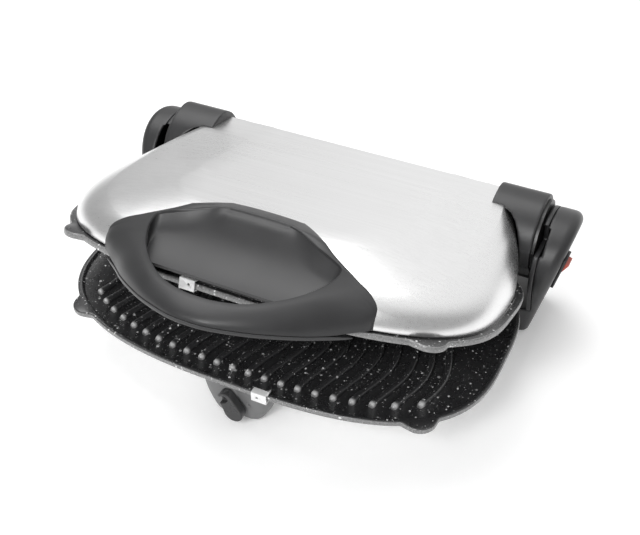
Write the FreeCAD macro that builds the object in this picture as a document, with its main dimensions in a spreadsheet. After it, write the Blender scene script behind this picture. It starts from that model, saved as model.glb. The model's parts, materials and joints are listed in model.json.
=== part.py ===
import FreeCAD, Part
import math
import os
import re
import Sketcher
from FreeCAD import Placement, Rotation, Vector

# Sandwich maker: a base with two hinge pods, and a lid that swings on two hinge pins.
# Millimetres. X runs to the right seen from the front, Y to the back, Z up from the table.
# Lid pieces are drawn with the lid closed, then turned about the hinge to the propped open rest.

doc = FreeCAD.newDocument("sandwich_maker")

SIZES = [
    ("hinge_y", 109.0, "hinge axis behind the middle of the part"),
    ("hinge_z", 68.0, "hinge axis above the table"),
    ("open_angle", 18.7, "lid angle at rest, from closed"),
    ("fit", 0.3, "clearance between pieces that move past each other"),
    ("pin_clearance", 0.05, "radial running fit of the hinge pins"),
    ("plate_top", 48.0, "upper rim of the lower plate"),
    ("plate_gap", 3.0, "rim to rim with the lid closed"),
    ("plate_half", 173.5, "half width of a plate"),
    ("plate_front", -108.0, "front edge of a plate"),
    ("plate_wide_y", -6.0, "where a plate is widest"),
    ("plate_rear", 94.0, "rear edge of a plate"),
    ("front_power", 2.75, "squareness of the front corners"),
    ("plate_rear_power", 4.0, "squareness of a plate's rear corners"),
    ("lip_width", 5.0, "outer lip of a plate"),
    ("lip_thickness", 4.5, "thickness of that lip"),
    ("rim_width", 4.0, "raised rim round the cooking floor"),
    ("floor_depth", 2.5, "cooking floor below the rim"),
    ("floor_thickness", 3.0, "casting under the cooking floor"),
    ("rib_count", 22.0, "ribs on a plate"),
    ("rib_pitch", 13.05, "rib to rib"),
    ("rib_width", 5.0, "width of a rib"),
    ("rib_height", 3.6, "rib above the cooking floor"),
    ("rib_inset", 13.0, "rib ends inside the plate edge"),
    ("rib_wave", 6.5, "sideways swing of a rib"),
    ("rib_wave_length", 116.0, "length of one wave of a rib"),
    ("rib_crest_y", -38.0, "where a rib swings furthest right"),
    ("tab_radius", 13.0, "finger tab at a plate's front corner"),
    ("tab_x", 137.5, "tab centre"),
    ("tab_y", -78.0, "tab centre"),
    ("sheet", 0.8, "steel sheet of the lid and pan"),
    ("pan_half", 161.0, "pan at its top edge"),
    ("pan_front", -101.0, "pan at its top edge"),
    ("pan_rear", 90.0, "pan at its top edge"),
    ("pan_draft", 45.0, "pan narrows by this much at its floor"),
    ("pan_skirt", 5.0, "upright edge of the pan"),
    ("pan_floor", 8.0, "pan floor above the table"),
    ("foot_height", 3.0, "rubber feet"),
    ("foot_radius", 7.0, "rubber feet"),
    ("foot_edge", 4.5, "rubber feet inside the edge they stand under"),
    ("element_radius", 3.2, "tubular heater"),
    ("element_half", 105.0, "heater loop, half width"),
    ("element_front", -64.0, "heater loop, front run"),
    ("element_rear", 56.0, "heater loop, rear run"),
    ("element_bend", 30.0, "heater loop, bend radius"),
    ("reflector_depth", 9.0, "depth of a reflector tray"),
    ("lid_half", 162.0, "steel cover at its lower edge"),
    ("lid_front", -102.0, "steel cover at its lower edge"),
    ("lid_wide_y", 0.0, "where the lower edge is widest"),
    ("lid_rear_reach", 177.0, "rear of the lower edge curve, behind the cut"),
    ("lid_rear_power", 2.6, "squareness behind the widest line"),
    ("crease_half", 140.5, "steel cover at the soft crease"),
    ("crease_front", -100.0, "steel cover at the soft crease"),
    ("crease_wide_y", -9.5, "where the crease is widest"),
    ("crease_rear_reach", 193.0, "rear of the crease curve, behind the cut"),
    ("crease_slope", 0.167, "fall of the crease to the front"),
    ("crown_half", 84.0, "flat crown of the cover"),
    ("crown_front", -64.0, "flat crown of the cover"),
    ("crown_slope", 0.092, "fall of the crown to the front"),
    ("lid_rear_y", 114.0, "straight rear edge of the cover"),
    ("lid_rear_z", 111.0, "straight rear edge of the cover"),
    ("shoulder_power", 2.2, "roundness of the cover's side"),
    ("frame_width", 7.0, "lid frame ring"),
    ("handle_back", -55.0, "back edge of the handle on the lid"),
    ("handle_back_half", 29.0, "straight part of that edge"),
    ("handle_half", 102.0, "handle, half width"),
    ("handle_end_y", -86.0, "handle ends"),
    ("handle_front", -157.0, "front of the hand bar"),
    ("handle_bottom", 49.5, "underside of the hand bar"),
    ("handle_crest_y", -70.0, "highest line of the handle"),
    ("handle_crest_z", 100.7, "highest line of the handle"),
    ("handle_slope", 0.475, "fall of the handle to the front"),
    ("handle_drop", 27.7, "fall of the handle to its ends"),
    ("bar_inner", -142.0, "hand gap side of the bar"),
    ("bar_split", 55.0, "parting line of the hand bar"),
    ("scoop_radius", 64.4, "hollow behind the bar"),
    ("scoop_y", -129.9, "axis of the hollow"),
    ("scoop_z", 124.5, "axis of the hollow"),
    ("scoop_half", 74.0, "half width of the hollow"),
    ("scoop_lip", -111.5, "front edge of the hollow's floor"),
    ("handle_wall", 3.0, "plastic wall of the handle"),
    ("pod_inner", 166.5, "inner face of a hinge pod"),
    ("pod_outer", 188.0, "outer face of a hinge pod"),
    ("pod_radius", 40.0, "dome of a hinge pod"),
    ("pod_lean", 20.0, "outer face comes in by this much at the table"),
    ("pod_lean_z", 86.0, "the outer face leans below this height"),
    ("pod_foot_front", 86.0, "front of a pod at the table"),
    ("pod_foot_rear", 142.0, "rear of a pod at the table"),
    ("pod_foot_inner", 140.0, "inner side of a pod at the table"),
    ("pod_foot_height", 26.0, "height of the pod's inner foot"),
    ("pod_step", 8.0, "slope from that foot to the inner face"),
    ("pod_wall", 3.0, "plastic wall of a pod"),
    ("pod_cover_thickness", 4.0, "inner cover of a pod"),
    ("slot_width", 6.0, "window at a pod's inner edge"),
    ("slot_height", 16.0, "window at a pod's inner edge"),
    ("slot_bottom", 89.0, "window above the table"),
    ("pin_radius", 5.0, "hinge pin"),
    ("pin_head_radius", 9.0, "hinge pin head"),
    ("pin_head_length", 4.0, "hinge pin head"),
    ("pin_length", 32.0, "hinge pin in the arm"),
    ("arm_inner", 124.0, "inner end of a hinge arm"),
    ("arm_outer", 163.4, "outer end of a hinge arm"),
    ("strap_thickness", 2.2, "steel strap on the arm's end"),
    ("knuckle_radius", 22.0, "arm round the hinge pin"),
    ("corner_cut", 238.0, "x plus y of the cut across the lid's rear corners"),
    ("bush_radius", 8.0, "bush round the hinge pin"),
    ("bridge_height", 20.0, "top of the rear bridge"),
    ("bridge_front", 100.0, "front of the rear bridge"),
    ("bridge_rear", 138.0, "rear of the rear bridge"),
    ("gland_radius", 7.5, "cord gland"),
    ("gland_bore", 3.2, "cord gland"),
    ("cover_half_top", 29.5, "front cover at its top"),
    ("cover_half_bottom", 20.0, "front cover at its bottom"),
    ("cover_top", 33.0, "front cover above the table"),
    ("cover_front_top", -97.5, "front cover at its top"),
    ("cover_front_bottom", -95.0, "front cover at its bottom"),
    ("latch_x", -3.0, "latch pivot"),
    ("latch_z", 26.0, "latch pivot"),
    ("latch_back", -98.5, "rear face of the latch lever"),
    ("latch_thickness", 7.0, "latch lever"),
    ("latch_reach", 13.5, "pivot to the middle of the finger end"),
    ("latch_head", 7.6, "finger end radius"),
    ("latch_eye", 6.0, "pivot end radius"),
    ("latch_screw_radius", 2.0, "latch pivot screw"),
    ("latch_screw_length", 14.0, "latch pivot screw under its head"),
    ("clip_x", 28.0, "plate clip from the middle"),
    ("clip_half", 6.0, "plate clip, half width"),
    ("clip_sheet", 1.0, "plate clip"),
    ("clip_reach", 4.4, "plate clip over the rim"),
    ("clip_height", 8.2, "plate clip"),
    ("clip_leg", 14.0, "plate clip"),
    ("switch_y", 90.0, "switch on the right pod"),
    ("switch_z", 73.0, "switch on the right pod"),
    ("switch_height", 29.0, "switch bezel"),
    ("switch_width", 15.0, "switch bezel"),
    ("switch_depth", 10.0, "switch body behind the pod wall"),
    ("bezel_lip", 2.4, "bezel in front of the pod wall"),
    ("bezel_wall", 1.6, "bezel round the rocker"),
    ("bezel_rim", 1.0, "bezel outside its housing"),
    ("rocker_pivot", 1.5, "rocker pivot behind the pod wall"),
    ("screw_radius", 1.7, "casing screws"),
    ("screw_head", 3.4, "casing screws"),
    ("screw_length", 9.0, "casing screws"),
    ("screw_head_height", 1.4, "casing screws"),
    ("tray_room", 9.0, "upper reflector outside the heater loop"),
    ("tray_depth", 12.0, "upper reflector"),
    ("tray_draft", 6.0, "upper reflector"),
    ("frame_height", 4.0, "lid frame ring"),
    ("arm_reach", 50.0, "top of a hinge arm above the hinge axis"),
    ("arm_nose", 37.5, "front of a hinge arm from the hinge axis"),
    ("arm_chin", 7.5, "underside of that front below the axis"),
    ("strap_scale", 0.92, "strap outline as a share of the arm's"),
    ("pod_round", 7.0, "rounding of a pod's outer edge"),
    ("gland_neck", 4.2, "cord gland in the wall"),
    ("gland_flange", 3.0, "cord gland on each side of the wall"),
    ("gland_x", 80.0, "cord gland from the middle"),
    ("cover_round", 10.0, "rounding of the front cover's corners"),
    ("cover_back", -62.0, "front cover reaches back under the pan"),
    ("latch_lean", 28.0, "latch lever off the vertical at rest"),
    ("rocker_tilt", 10.0, "rocker at rest, upper end out"),
]

sizes = doc.addObject("Spreadsheet::Sheet", "Sizes")
for row, (alias, number, note) in enumerate(SIZES, start=1):
    sizes.set("A%d" % row, alias)
    sizes.set("B%d" % row, str(number))
    sizes.set("C%d" % row, note)
    sizes.setAlias("B%d" % row, alias)
doc.recompute()

ALIASES = {alias for alias, number, note in SIZES}
OUTLINE_POINTS = 40
RIB_POINTS = 11
RIB_PASSES = 6
FAR = 400.0
LID_HEIGHTS = (0.0, 0.3, 0.55, 0.75, 0.88, 0.96, 1.0)

nodes = []


def value(name):
    """Read one driving dimension from the sheet."""
    return float(getattr(sizes, name))


def in_sheet(formula):
    """Put the sheet's name before each alias of a formula."""
    def prefix(match):
        word = match.group(0)
        return "Sizes." + word if word in ALIASES else word
    return re.sub(r"[a-z_]+", prefix, formula)


def bind(item, prop, formula):
    """Tie a property to cells of the sheet."""
    item.setExpression(prop, in_sheet(formula))


def result(formula):
    """Work out a formula of aliases as a number."""
    return float(sizes.evalExpression(re.sub(r"\s+", " ", formula)))


def keep(item, label):
    """Name a finished sub-part, so that it is checked and written."""
    item.Label = label
    nodes.append(item)
    return item


def feature(label, shape):
    """A sub-part whose shape is worked out here from the sheet's values."""
    item = doc.addObject("Part::Feature", label)
    item.Shape = shape
    return keep(item, label)


def hinge_turn(degrees):
    """Turn about the hinge axis that lifts the front by this angle."""
    centre = Vector(0, value("hinge_y"), value("hinge_z"))
    return Placement(Vector(0, 0, 0), Rotation(Vector(-1, 0, 0), degrees), centre)


def on_lid(item):
    """Swing a piece that was drawn with the lid closed to the open rest."""
    item.Placement = hinge_turn(value("open_angle")).multiply(item.Placement)
    return item


def box(x0, x1, y0, y1, z0, z1):
    return Part.makeBox(x1 - x0, y1 - y0, z1 - z0, Vector(x0, y0, z0))


def rod(radius, start, end):
    """Round bar between two points."""
    along = end.sub(start)
    return Part.makeCylinder(radius, along.Length, start, along)


def prism(points, z0, z1):
    """Straight-sided block over a plan polygon."""
    corners = [Vector(x, y, z0) for x, y in points]
    face = Part.Face(Part.makePolygon(corners + corners[:1]))
    return face.extrude(Vector(0, 0, z1 - z0))


def front_prism(points, y0, y1):
    """Block over a polygon of (x, z) points, from one Y to another."""
    corners = [Vector(x, y0, z) for x, z in points]
    face = Part.Face(Part.makePolygon(corners + corners[:1]))
    return face.extrude(Vector(0, y1 - y0, 0))


def closed_curve(points):
    """Smooth closed wire through points."""
    curve = Part.BSplineCurve()
    curve.interpolate(points, PeriodicFlag=True)
    return Part.Wire(curve.toShape())


def mirrored(shape):
    return shape.mirror(Vector(0, 0, 0), Vector(1, 0, 0))


def round_edges(shape, radius, chooser):
    """Fillet the edges that the chooser picks."""
    edges = [edge for edge in shape.Edges if chooser(edge)]
    return shape.makeFillet(radius, edges) if edges else shape


class Outline:
    """Closed plan curve: a superellipse in front of its widest line and another behind it."""

    def __init__(self, half, front, wide, rear, front_power, rear_power):
        self.half = half
        self.front = front
        self.wide = wide
        self.rear = rear
        self.front_power = front_power
        self.rear_power = rear_power

    def inset(self, distance):
        return Outline(self.half - distance, self.front + distance, self.wide,
                       self.rear - distance, self.front_power, self.rear_power)

    def mix(self, other, share):
        """Outline part of the way to another one."""
        def between(a, b):
            return a + (b - a) * share
        return Outline(between(self.half, other.half), between(self.front, other.front),
                       between(self.wide, other.wide), between(self.rear, other.rear),
                       between(self.front_power, other.front_power),
                       between(self.rear_power, other.rear_power))

    def point(self, angle):
        """Point at a polar angle, from +X towards +Y, about the middle of the widest line."""
        behind = math.sin(angle) >= 0
        power = self.rear_power if behind else self.front_power
        depth = self.rear - self.wide if behind else self.wide - self.front
        across = abs(math.cos(angle)) / self.half
        along = abs(math.sin(angle)) / depth
        reach = (across ** power + along ** power) ** (-1.0 / power)
        return reach * math.cos(angle), self.wide + reach * math.sin(angle)

    def wire(self, level, slope=0.0):
        """The curve in the plane z = level + slope * y."""
        points = []
        for step in range(OUTLINE_POINTS):
            x, y = self.point(2 * math.pi * step / OUTLINE_POINTS)
            points.append(Vector(x, y, level + slope * y))
        return closed_curve(points)

    def prism(self, z0, z1):
        return Part.Face(self.wire(z0)).extrude(Vector(0, 0, z1 - z0))


def plate_outline():
    return Outline(value("plate_half"), value("plate_front"), value("plate_wide_y"),
                   value("plate_rear"), value("front_power"), value("plate_rear_power"))


def polygon_sketch(body, name, role, corners, offset="0"):
    """Closed sketch whose corners are formulas of the sheet, on one of the body's own planes."""
    sketch = body.newObject("Sketcher::SketchObject", name)
    plane = [item for item in body.Origin.OriginFeatures if item.Role == role][0]
    sketch.AttachmentSupport = [(plane, "")]
    sketch.MapMode = "FlatFace"
    bind(sketch, "AttachmentOffset.Base.z", offset)
    spots = [Vector(result(u), result(v), 0) for u, v in corners]
    count = len(spots)
    for index in range(count):
        sketch.addGeometry(Part.LineSegment(spots[index], spots[(index + 1) % count]), False)
    for index in range(count):
        sketch.addConstraint(Sketcher.Constraint("Coincident", index, 2, (index + 1) % count, 1))
    for index, (u, v) in enumerate(corners):
        for kind, formula, spot in (("DistanceX", u, spots[index].x), ("DistanceY", v, spots[index].y)):
            number = sketch.addConstraint(Sketcher.Constraint(kind, -1, 1, index, 1, spot))
            bind(sketch, "Constraints[%d]" % number, formula)
    return sketch


def turned_body(label, profile):
    """Body of revolution about X: profile corners are (x, radius) formulas."""
    body = doc.addObject("PartDesign::Body", label)
    sketch = polygon_sketch(body, label + "_profile", "XY_Plane", profile)
    turn = body.newObject("PartDesign::Revolution", label + "_turn")
    turn.Profile = sketch
    turn.ReferenceAxis = (sketch, ["H_Axis"])
    turn.Angle = 360.0
    body.Tip = turn
    doc.recompute()
    return keep(body, label)


def add_step(body, kind, label, role, corners, length, offset="0"):
    """Pad or pocket of a polygon sketch on one of a body's own planes."""
    sketch = polygon_sketch(body, label + "_outline", role, corners, offset)
    step = body.newObject("PartDesign::" + kind, label)
    step.Profile = sketch
    bind(step, "Length", length)
    body.Tip = step
    doc.recompute()
    return step


def padded_body(label, role, corners, length, offset="0"):
    """Body padded from a polygon sketch along the plane's normal."""
    body = doc.addObject("PartDesign::Body", label)
    add_step(body, "Pad", label + "_pad", role, corners, length, offset)
    return keep(body, label)


def rectangle(half_u, half_v):
    """Corner formulas of a rectangle about the sketch's origin."""
    return [("-(%s)" % half_u, "-(%s)" % half_v), (half_u, "-(%s)" % half_v), (half_u, half_v),
            ("-(%s)" % half_u, half_v)]


def block(label, lows, lengths):
    """Part::Box tied to formulas for its lowest corner and its lengths."""
    item = doc.addObject("Part::Box", label)
    for prop, formula in zip(("Length", "Width", "Height"), lengths):
        bind(item, prop, formula)
    for axis, formula in zip("xyz", lows):
        bind(item, "Placement.Base." + axis, formula)
    return item


def cylinder(label, radius, length, base, axis=Vector(0, 0, 1)):
    """Part::Cylinder tied to formulas, from its base point along an axis."""
    item = doc.addObject("Part::Cylinder", label)
    bind(item, "Radius", radius)
    bind(item, "Height", length)
    item.Placement = Placement(Vector(0, 0, 0), Rotation(Vector(0, 0, 1), axis))
    for letter, formula in zip("xyz", base):
        bind(item, "Placement.Base." + letter, formula)
    return item


def joined(label, pieces):
    item = doc.addObject("Part::MultiFuse", label)
    item.Shapes = pieces
    item.Refine = True
    doc.recompute()
    return item


def minus(label, base, tool):
    item = doc.addObject("Part::Cut", label)
    item.Base = base
    item.Tool = tool
    item.Refine = True
    doc.recompute()
    return item


def screw(start, direction, length):
    """Pan head screw: its head stands on the surface at the start point."""
    head = value("screw_head_height")
    shank = Part.makeCylinder(value("screw_radius"), length, start, direction)
    head_start = start.sub(Vector(direction).multiply(head))
    return shank.fuse(Part.makeCylinder(value("screw_head"), head, head_start, direction)).removeSplitter()


def group(label, shapes):
    return feature(label, Part.makeCompound(shapes))


def drilled(shape, screws):
    """Holes for screws."""
    return shape.cut(Part.makeCompound(screws))


# Cooking plates


def rib_centre(index, y):
    """Sideways place of one rib at a depth."""
    middle = (value("rib_count") - 1) / 2
    swing = math.cos(2 * math.pi * (y - value("rib_crest_y")) / value("rib_wave_length"))
    return (index - middle) * value("rib_pitch") + value("rib_wave") * (swing - 0.5)


def rib_reach(index, area):
    """Front and rear end of a rib, where its middle line meets the ribbed area's outline."""
    ends = []
    for direction, tip in ((-1, area.front), (1, area.rear)):
        depth = abs(tip - area.wide)
        power = area.front_power if direction < 0 else area.rear_power
        y = area.wide
        for pass_number in range(RIB_PASSES):
            share = min(abs(rib_centre(index, y)) / area.half, 1.0)
            y = area.wide + direction * depth * (1.0 - share ** power) ** (1.0 / power)
        ends.append(y - direction * value("rib_width") / 2)
    return ends


def rib_wire(index, area, level):
    """Closed outline of one waved rib with round ends."""
    front, rear = rib_reach(index, area)
    half = value("rib_width") / 2
    step = (rear - front) / (RIB_POINTS - 1)
    sides = []
    for side in (-half, half):
        points = [Vector(rib_centre(index, front + step * k) + side, front + step * k, level)
                  for k in range(RIB_POINTS)]
        curve = Part.BSplineCurve()
        curve.interpolate(points)
        sides.append((curve.toShape(), points))
    left, right = sides
    rear_cap = Part.Arc(left[1][-1], Vector(rib_centre(index, rear), rear + half, level), right[1][-1])
    front_cap = Part.Arc(right[1][0], Vector(rib_centre(index, front), front - half, level), left[1][0])
    return Part.Wire([left[0], rear_cap.toShape(), right[0], front_cap.toShape()])


def with_ribs(casting, wires, height):
    """Raise a rib over each wire on the casting's floor."""
    level = wires[0].BoundBox.ZMin
    flat = [face for face in casting.Faces if face.BoundBox.ZLength < 1e-6
            and abs(face.BoundBox.ZMin - level) < 1e-6]
    floor = max(flat, key=lambda face: face.Area)
    faces = [face for face in casting.Faces if not face.isSame(floor)]
    faces.append(Part.makeFace([floor.OuterWire] + wires, "Part::FaceMakerBullseye"))
    for wire in wires:
        faces.extend(wire.extrude(Vector(0, 0, height)).Faces)
        top = wire.copy()
        top.translate(Vector(0, 0, height))
        faces.append(Part.Face(top))
    shell = Part.makeShell(faces)
    shell.sewShape()
    return Part.makeSolid(shell)


def plate_shape():
    """Cast plate with lip, low rim, waved ribs and two finger tabs, cooking side up."""
    top = value("plate_top")
    floor = top - value("floor_depth")
    under = floor - value("floor_thickness")
    outline = plate_outline()
    lip = outline.prism(top - value("lip_thickness"), top)
    for side in (-1, 1):
        centre = Vector(side * value("tab_x"), value("tab_y"), top - value("lip_thickness"))
        lip = lip.fuse(Part.makeCylinder(value("tab_radius"), value("lip_thickness"), centre))
    casting = lip.fuse(outline.inset(value("lip_width")).prism(under, top))
    hollow = outline.inset(value("rim_width")).prism(floor, top + 1)
    casting = casting.cut(hollow).removeSplitter()
    area = outline.inset(value("rib_inset"))
    wires = [rib_wire(index, area, floor) for index in range(int(value("rib_count")))]
    return with_ribs(casting, wires, value("rib_height"))


def closed_middle():
    """Height half way between the two closed plates."""
    return value("plate_top") + value("plate_gap") / 2


def flipped(item):
    """Turn a base piece over to its place under the closed lid."""
    centre = Vector(0, 0, closed_middle())
    item.Placement = Placement(Vector(0, 0, 0), Rotation(Vector(0, 1, 0), 180), centre)
    return on_lid(item)


plate_solid = plate_shape()
lower_plate = feature("lower_plate", plate_solid)
upper_plate = flipped(feature("upper_plate", plate_solid))


# Heater, reflector and controls behind a plate


def plate_underside():
    return value("plate_top") - value("floor_depth") - value("floor_thickness")


def element_shape():
    """Tubular heater bent into an open loop close under the plate."""
    radius = value("element_radius")
    level = plate_underside() - radius
    half, bend = value("element_half"), value("element_bend")
    front, rear = value("element_front"), value("element_rear")
    lead = 28.0
    turn = bend * math.sqrt(0.5)

    def spot(x, y):
        return Vector(x, y, level)

    edges = [
        Part.LineSegment(spot(-lead, rear), spot(-half + bend, rear)),
        Part.Arc(spot(-half + bend, rear), spot(-half + bend - turn, rear - bend + turn),
                 spot(-half, rear - bend)),
        Part.LineSegment(spot(-half, rear - bend), spot(-half, front + bend)),
        Part.Arc(spot(-half, front + bend), spot(-half + bend - turn, front + bend - turn),
                 spot(-half + bend, front)),
        Part.LineSegment(spot(-half + bend, front), spot(half - bend, front)),
        Part.Arc(spot(half - bend, front), spot(half - bend + turn, front + bend - turn),
                 spot(half, front + bend)),
        Part.LineSegment(spot(half, front + bend), spot(half, rear - bend)),
        Part.Arc(spot(half, rear - bend), spot(half - bend + turn, rear - bend + turn),
                 spot(half - bend, rear)),
        Part.LineSegment(spot(half - bend, rear), spot(lead, rear)),
    ]
    path = Part.Wire([edge.toShape() for edge in edges])
    section = Part.Wire(Part.makeCircle(radius, spot(-lead, rear), Vector(1, 0, 0)))
    return path.makePipeShell([section], True, False)


element_solid = element_shape()
feature("lower_heating_element", element_solid)
flipped(feature("upper_heating_element", element_solid))


def pan_outline():
    return Outline(value("pan_half"), value("pan_front"), value("plate_wide_y"), value("pan_rear"),
                   value("front_power"), value("plate_rear_power"))


def pan_solid(inset, low, high):
    """Solid dish under the plate: an upright skirt, then a wall that narrows to the floor."""
    skirt = plate_underside() - value("pan_skirt")
    wires = []
    for level in (low, skirt, high) if low < skirt < high else (low, high):
        narrow = value("pan_draft") * max(skirt - level, 0.0) / (skirt - value("pan_floor"))
        wires.append(pan_outline().inset(inset + narrow).wire(level))
    return Part.makeLoft(wires, True, True)


def clip_drop():
    """From a plate's rim plane to the near side of its clip's leg."""
    return value("clip_height") - 2 * value("clip_sheet") - value("fit")


def clip_notch(x, low, high):
    """Room for the leg of a plate clip."""
    room = value("clip_half") + value("fit")
    front = value("plate_front")
    return box(x - room, x + room, front - 10, front + value("clip_leg") + 2, low, high)


def pan_shape():
    outside = pan_solid(0.0, value("pan_floor"), plate_underside())
    inside = pan_solid(value("sheet"), value("pan_floor") + value("sheet"), plate_underside() + 1)
    leg_bottom = value("plate_top") - clip_drop() - value("clip_sheet")
    notch = clip_notch(value("clip_x"), leg_bottom - value("fit"), FAR)
    return outside.cut(inside).cut(notch)


feature("base_pan", pan_shape())


def reflector_shape():
    """Thin tray that stands in the pan on two pressed studs."""
    rim = plate_underside() - 2 * value("element_radius") - 2.0
    low = rim - value("reflector_depth")
    gap = 2 * value("sheet") + value("fit")
    outside = pan_solid(gap, low, rim)
    inside = pan_solid(gap + value("sheet"), low + value("sheet"), rim + 1)
    tray = outside.cut(inside)
    for side in (-1, 1):
        spot = Vector(side * value("element_half") / 2, 0, value("pan_floor") + value("sheet"))
        tray = tray.fuse(rod(value("foot_radius"), spot, Vector(spot.x, spot.y, low)))
    return tray.removeSplitter()


feature("lower_reflector", reflector_shape())


PLATE_UNDER = "(plate_top - floor_depth - floor_thickness)"


def thermostat():
    """Snap-disc thermostat on the underside of the plate."""
    flange = block("thermostat_flange", ("-16", "-26", PLATE_UNDER + " - 1.5"), ("32", "12", "1.5"))
    body = cylinder("thermostat_body", "8.5", "10", ("0", "-20", PLATE_UNDER + " - 11.5"))
    keep(joined("thermostat_whole", [flange, body]), "lower_thermostat")


thermostat()


def thermal_fuse():
    """Thermal fuse in a saddle on the back of the upper plate, drawn under the lower one."""
    body = padded_body("upper_thermal_fuse", "XY_Plane", rectangle("12", "8"), "2", PLATE_UNDER + " - 2")
    add_step(body, "Pad", "fuse_post", "XY_Plane", rectangle("6", "4"), "5", PLATE_UNDER + " - 6")
    add_step(body, "Pad", "fuse_barrel", "XY_Plane", rectangle("18", "3.5"), "7", PLATE_UNDER + " - 9.5")
    flipped(body)


thermal_fuse()


# Steel lid cover


def lid_edge_z():
    """Lower edge of the steel cover, just behind the upper plate's back."""
    thick = value("floor_depth") + value("floor_thickness")
    return value("plate_top") + value("plate_gap") + thick + value("fit")


def lid_sections(inset):
    """Outline, level and slope of each section of the cover, from its edge to its crown."""
    edge = Outline(value("lid_half"), value("lid_front"), value("lid_wide_y"),
                   value("lid_rear_reach"), value("front_power"), value("lid_rear_power"))
    crease = Outline(value("crease_half"), value("crease_front"), value("crease_wide_y"),
                     value("crease_rear_reach"), value("front_power"), value("lid_rear_power"))
    crown = Outline(value("crown_half"), value("crown_front"), value("crease_wide_y"),
                    value("crease_rear_reach"), value("front_power"), value("lid_rear_power"))
    crease_level = value("lid_rear_z") - value("crease_slope") * value("lid_rear_y")
    crown_level = value("lid_rear_z") - value("crown_slope") * value("lid_rear_y")
    power = value("shoulder_power")
    sections = []
    for height in LID_HEIGHTS:
        share = 1.0 - (1.0 - height ** power) ** (1.0 / power)
        level = lid_edge_z() + (crease_level - lid_edge_z()) * height
        sections.append((edge.mix(crease, share), level, value("crease_slope") * height))
    sections.append((crown, crown_level, value("crown_slope")))
    lowered = [(outline.inset(inset), level - inset * (index > 0), slope)
               for index, (outline, level, slope) in enumerate(sections)]
    return lowered


def lid_solid(inset):
    """The space inside the cover's outer or inner face, up to its straight rear."""
    wires = [outline.wire(level, slope) for outline, level, slope in lid_sections(inset)]
    solid = Part.makeLoft(wires, True, True)
    return solid.common(box(-FAR, FAR, -FAR, value("lid_rear_y") - inset, 0, FAR))


def corner_block(side, extra=0.0):
    """Space across a rear corner of the lid, where the hinge arm sits."""
    total = value("corner_cut") + extra
    inner = value("arm_inner") + extra
    corner = [(inner, total - inner), (FAR, total - FAR), (FAR, FAR), (inner, FAR)]
    solid = prism(corner, 0, FAR)
    return solid if side > 0 else mirrored(solid)


lid_outer = lid_solid(0.0)
lid_inner = lid_solid(value("sheet"))
lid_room = lid_solid(-value("fit") / 2)


# Handle


def handle_outline():
    """Plan of the whole handle: straight back, splayed shoulders, round front."""
    half, back = value("handle_half"), value("handle_back")
    end, front = value("handle_end_y"), value("handle_front")
    flat = value("handle_back_half")
    right = [(flat, back - 1), (0.57 * half, back + 0.55 * (end - back)), (0.82 * half, end + 6),
             (0.975 * half, end + 2), (half, end - 6), (0.83 * half, end - 25),
             (0.61 * half, end - 44), (0.35 * half, front + 10)]
    left = [(-x, y) for x, y in reversed(right)]
    points = [(0, back)] + right + [(0, front)] + left
    return [Vector(x, y, 0) for x, y in points]


def handle_envelope():
    """Block under the handle's domed top, which falls to the front and to both ends."""
    half, drop = value("handle_half"), value("handle_drop")
    crest_y, crest_z = value("handle_crest_y"), value("handle_crest_z")
    slope = value("handle_slope")
    front = value("handle_front") - 10

    def arch(y, fall):
        points = []
        for share in (-1.1, -0.85, -0.6, -0.3, 0.0, 0.3, 0.6, 0.85, 1.1):
            points.append(Vector(share * half, y, crest_z - fall - drop * abs(share) ** 2.16))
        curve = Part.BSplineCurve()
        curve.interpolate(points)
        top = curve.toShape()
        ends = [Vector(1.1 * half, y, 0), Vector(-1.1 * half, y, 0)]
        rest = Part.makePolygon([points[-1], ends[0], ends[1], points[0]])
        return Part.Wire([top] + rest.Edges)

    ahead = Part.makeLoft([arch(front, slope * (crest_y - front)), arch(crest_y, 0.0)], True, True)
    back_y = value("handle_back") + 10
    behind = Part.makeLoft([arch(crest_y, 0.0), arch(back_y, 1.5)], True, True)
    return ahead.fuse(behind)


def scoop(extra):
    radius = value("scoop_radius") + extra
    middle = Vector(0, value("scoop_y"), value("scoop_z"))
    reach = Vector(FAR / 2, 0, 0)
    return rod(radius, middle.sub(reach), middle.add(reach))


def hollow_plan(extra):
    """Plan of the hollow behind the bar, open to the top."""
    half, front = value("scoop_half") + extra, value("bar_inner") - extra
    end = value("handle_end_y") - 2
    depth = front - end
    right = [(half, end), (0.905 * half, end + 0.22 * depth), (0.676 * half, end + 0.5 * depth),
             (0.42 * half, end + 0.78 * depth)]
    curve = Part.BSplineCurve()
    nose = right + [(0, front)] + [(-x, y) for x, y in reversed(right)]
    curve.interpolate([Vector(x, y, 0) for x, y in nose])
    back = Part.makePolygon([Vector(-half, end, 0), Vector(-half, 0, 0), Vector(half, 0, 0),
                             Vector(half, end, 0)])
    return Part.Wire([curve.toShape()] + back.Edges)


def hollow_block(extra):
    face = Part.Face(hollow_plan(extra))
    return face.extrude(Vector(0, 0, FAR / 2))


def window_block():
    """Opening in the steel cover, inside the handle's outline, that the hollow passes through."""
    lip = 2 * value("handle_wall")
    half, back, end = value("handle_half"), value("handle_back"), value("handle_end_y")
    shoulder = back + 0.55 * (end - back)
    right = [(value("handle_back_half") - lip, back - lip), (0.57 * half - lip, shoulder - lip),
             (0.82 * half - lip, end + 6 - lip), (0.82 * half - lip, -FAR)]
    left = [(-x, y) for x, y in reversed(right)]
    return prism(right + left, 0, FAR / 2)


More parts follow.
